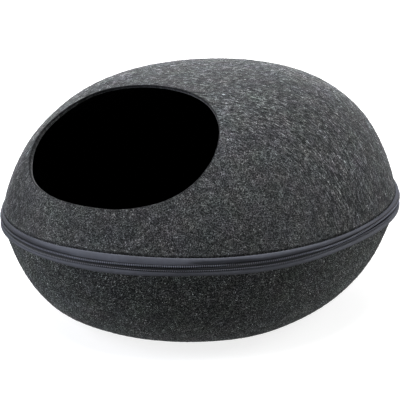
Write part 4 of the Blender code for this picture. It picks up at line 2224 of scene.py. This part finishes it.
def zip_coils(form: EggForm) -> tuple[ZipCoil, ZipCoil]:
    """The zip's two rows of coil, half a turn apart so that they mesh.

    Args:
        form: The egg's form.

    Returns:
        The upper row and the lower row.
    """
    upper = ZipCoil(
        form,
        Side.UPPER,
        UPPER_COIL,
        gap=UPPER_GAP,
        width=UPPER_WIDTH,
        reach=0.0060,
        head_sink=0.0009,
        valleys=UPPER_VALLEYS,
    )
    lower = ZipCoil(
        form,
        Side.LOWER,
        LOWER_COIL_PAINTED_SHADE,
        gap=LOWER_GAP,
        width=LOWER_WIDTH,
        reach=0.0055,
        head_sink=0.0013,
        first_turn=0.5,
    )
    return upper, lower


# ----- Studio -----


def heading(azimuth: float, elevation: float) -> Vector:
    """Unit direction away from the cave; azimuth 0 is the entrance's end.

    Args:
        azimuth: Degrees round the cave.
        elevation: Degrees above the floor.

    Returns:
        The direction.
    """
    turn, rise = math.radians(azimuth), math.radians(elevation)
    flat = math.cos(rise)
    return Vector((math.sin(turn) * flat, -math.cos(turn) * flat, math.sin(rise)))


def place_facing(
    name: str, data: bpy.types.ID, location: Vector, away: Vector
) -> bpy.types.Object:
    """Put a light or a camera in the scene, looking back along a direction.

    Args:
        name: Its name.
        data: Its light or camera data.
        location: Where it stands.
        away: Direction from the cave to it.

    Returns:
        Its object.
    """
    placed = bpy.data.objects.new(name, data)
    placed.location = location
    placed.rotation_mode = "QUATERNION"
    placed.rotation_quaternion = (-away).to_track_quat("-Z", "Y")
    bpy.context.scene.collection.objects.link(placed)
    return placed


@dataclass(frozen=True)
class SoftLight:
    """A large square area light that faces the cave."""

    name: str
    azimuth: float
    elevation: float
    power: float
    colour: Triple = (1.0, 1.0, 1.0)
    distance: float = 4.8
    size: float = 3.2

    def build(self, middle: Vector) -> None:
        """Hang the light.

        Args:
            middle: What it faces.
        """
        data = bpy.data.lights.new(self.name, "AREA")
        data.shape = "SQUARE"
        data.size = self.size
        data.energy = self.power
        data.color = self.colour
        away = heading(self.azimuth, self.elevation)
        light = place_facing(self.name, data, middle + away * self.distance, away)
        light.visible_camera = False


@dataclass
class Studio:
    """Plain floor, soft lights and the camera."""

    azimuth: float = 34.97
    elevation: float = 16.65
    distance: float = 2.1307
    lens: float = 173.9
    sensor_width: float = 36.0
    aim: Triple = (0.0, 0.0, 0.1155)
    slide: Pair = (-0.00596, 0.0012)
    room_light: float = 0.0
    floor_size: float = 24.0
    lit_middle: Triple = (0.0, 0.0, 0.12)
    lights: tuple[SoftLight, ...] = (
        SoftLight("light_overhead", 0.0, 82.0, 588.0),
        SoftLight("light_right_high", 90.0, 55.0, 54.0),
        SoftLight("light_right", 135.0, 25.0, 130.0),
        SoftLight("light_back_left", -135.0, 25.0, 127.0),
        SoftLight("light_left", -45.0, 25.0, 240.0, (0.94, 0.98, 1.08)),
    )

    def add_camera(self) -> None:
        """Set up the camera."""
        back = heading(self.azimuth, self.elevation)
        turn = math.radians(self.azimuth)
        right = Vector((math.cos(turn), math.sin(turn), 0.0))
        up = back.cross(right)
        data = bpy.data.cameras.new("camera")
        data.lens = self.lens
        data.sensor_width = self.sensor_width
        place = Vector(self.aim) + back * self.distance + right * self.slide[0] + up * self.slide[1]
        bpy.context.scene.camera = place_facing("camera", data, place, back)

    def add_floor(self) -> None:
        """Lay the floor."""
        signs = np.array([(-1.0, -1.0, 0.0), (1.0, -1.0, 0.0), (1.0, 1.0, 0.0), (-1.0, 1.0, 0.0)])
        mesh = fill_mesh("floor", signs * self.floor_size / 2.0, [np.array([[0, 1, 2, 3]])])
        dress_mesh(mesh, [FloorFinish()])
        floor = bpy.data.objects.new("floor", mesh)
        bpy.context.scene.collection.objects.link(floor)

    def add_room(self) -> None:
        """Show a white room that gives the cave no light of its own beyond the lights'."""
        world = bpy.data.worlds.new("room")
        world.use_nodes = True
        bpy.context.scene.world = world
        wires = Wiring(world.node_tree)
        room = wires.feed(world.node_tree.nodes["Background"], Color=WHITE, Strength=self.room_light)
        seen = wires.feed(wires.node("ShaderNodeBackground"), Color=WHITE)
        path = wires.node("ShaderNodeLightPath").outputs["Is Camera Ray"]
        mixed = wires.node("ShaderNodeMixShader")
        wires.joined(mixed, path, room.outputs[0], seen.outputs[0])
        wires.feed(world.node_tree.nodes["World Output"], Surface=mixed.outputs[0])

    def build(self) -> None:
        """Build the studio."""
        self.add_camera()
        self.add_floor()
        self.add_room()
        for light in self.lights:
            light.build(Vector(self.lit_middle))
        bpy.context.scene.view_settings.view_transform = "Standard"


def reported(piece: Piece) -> Piece:
    """Report a finished piece in the log.

    Args:
        piece: The piece.

    Returns:
        The same piece.
    """
    LOG.info("%s: %d faces", piece.name, len(piece.data.polygons))
    return piece


def main() -> None:
    """Build the cave's pieces in order and report each."""
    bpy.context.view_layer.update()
    Studio().build()
    form = EggForm()
    dome, bowl = FeltDome(form), FeltBowl(form)
    dome_piece = reported(dome.build())
    bowl_piece = reported(bowl.build())
    dome_pile = reported(dome.build_pile())
    bowl_pile = reported(bowl.build_pile())
    for tape in zip_tapes(form):
        piece = reported(tape.build())
    for coil in zip_coils(form):
        reported(coil.build())


if __name__ == "__main__":
    logging.basicConfig(level=logging.INFO, format="%(name)s: %(message)s")
    main()
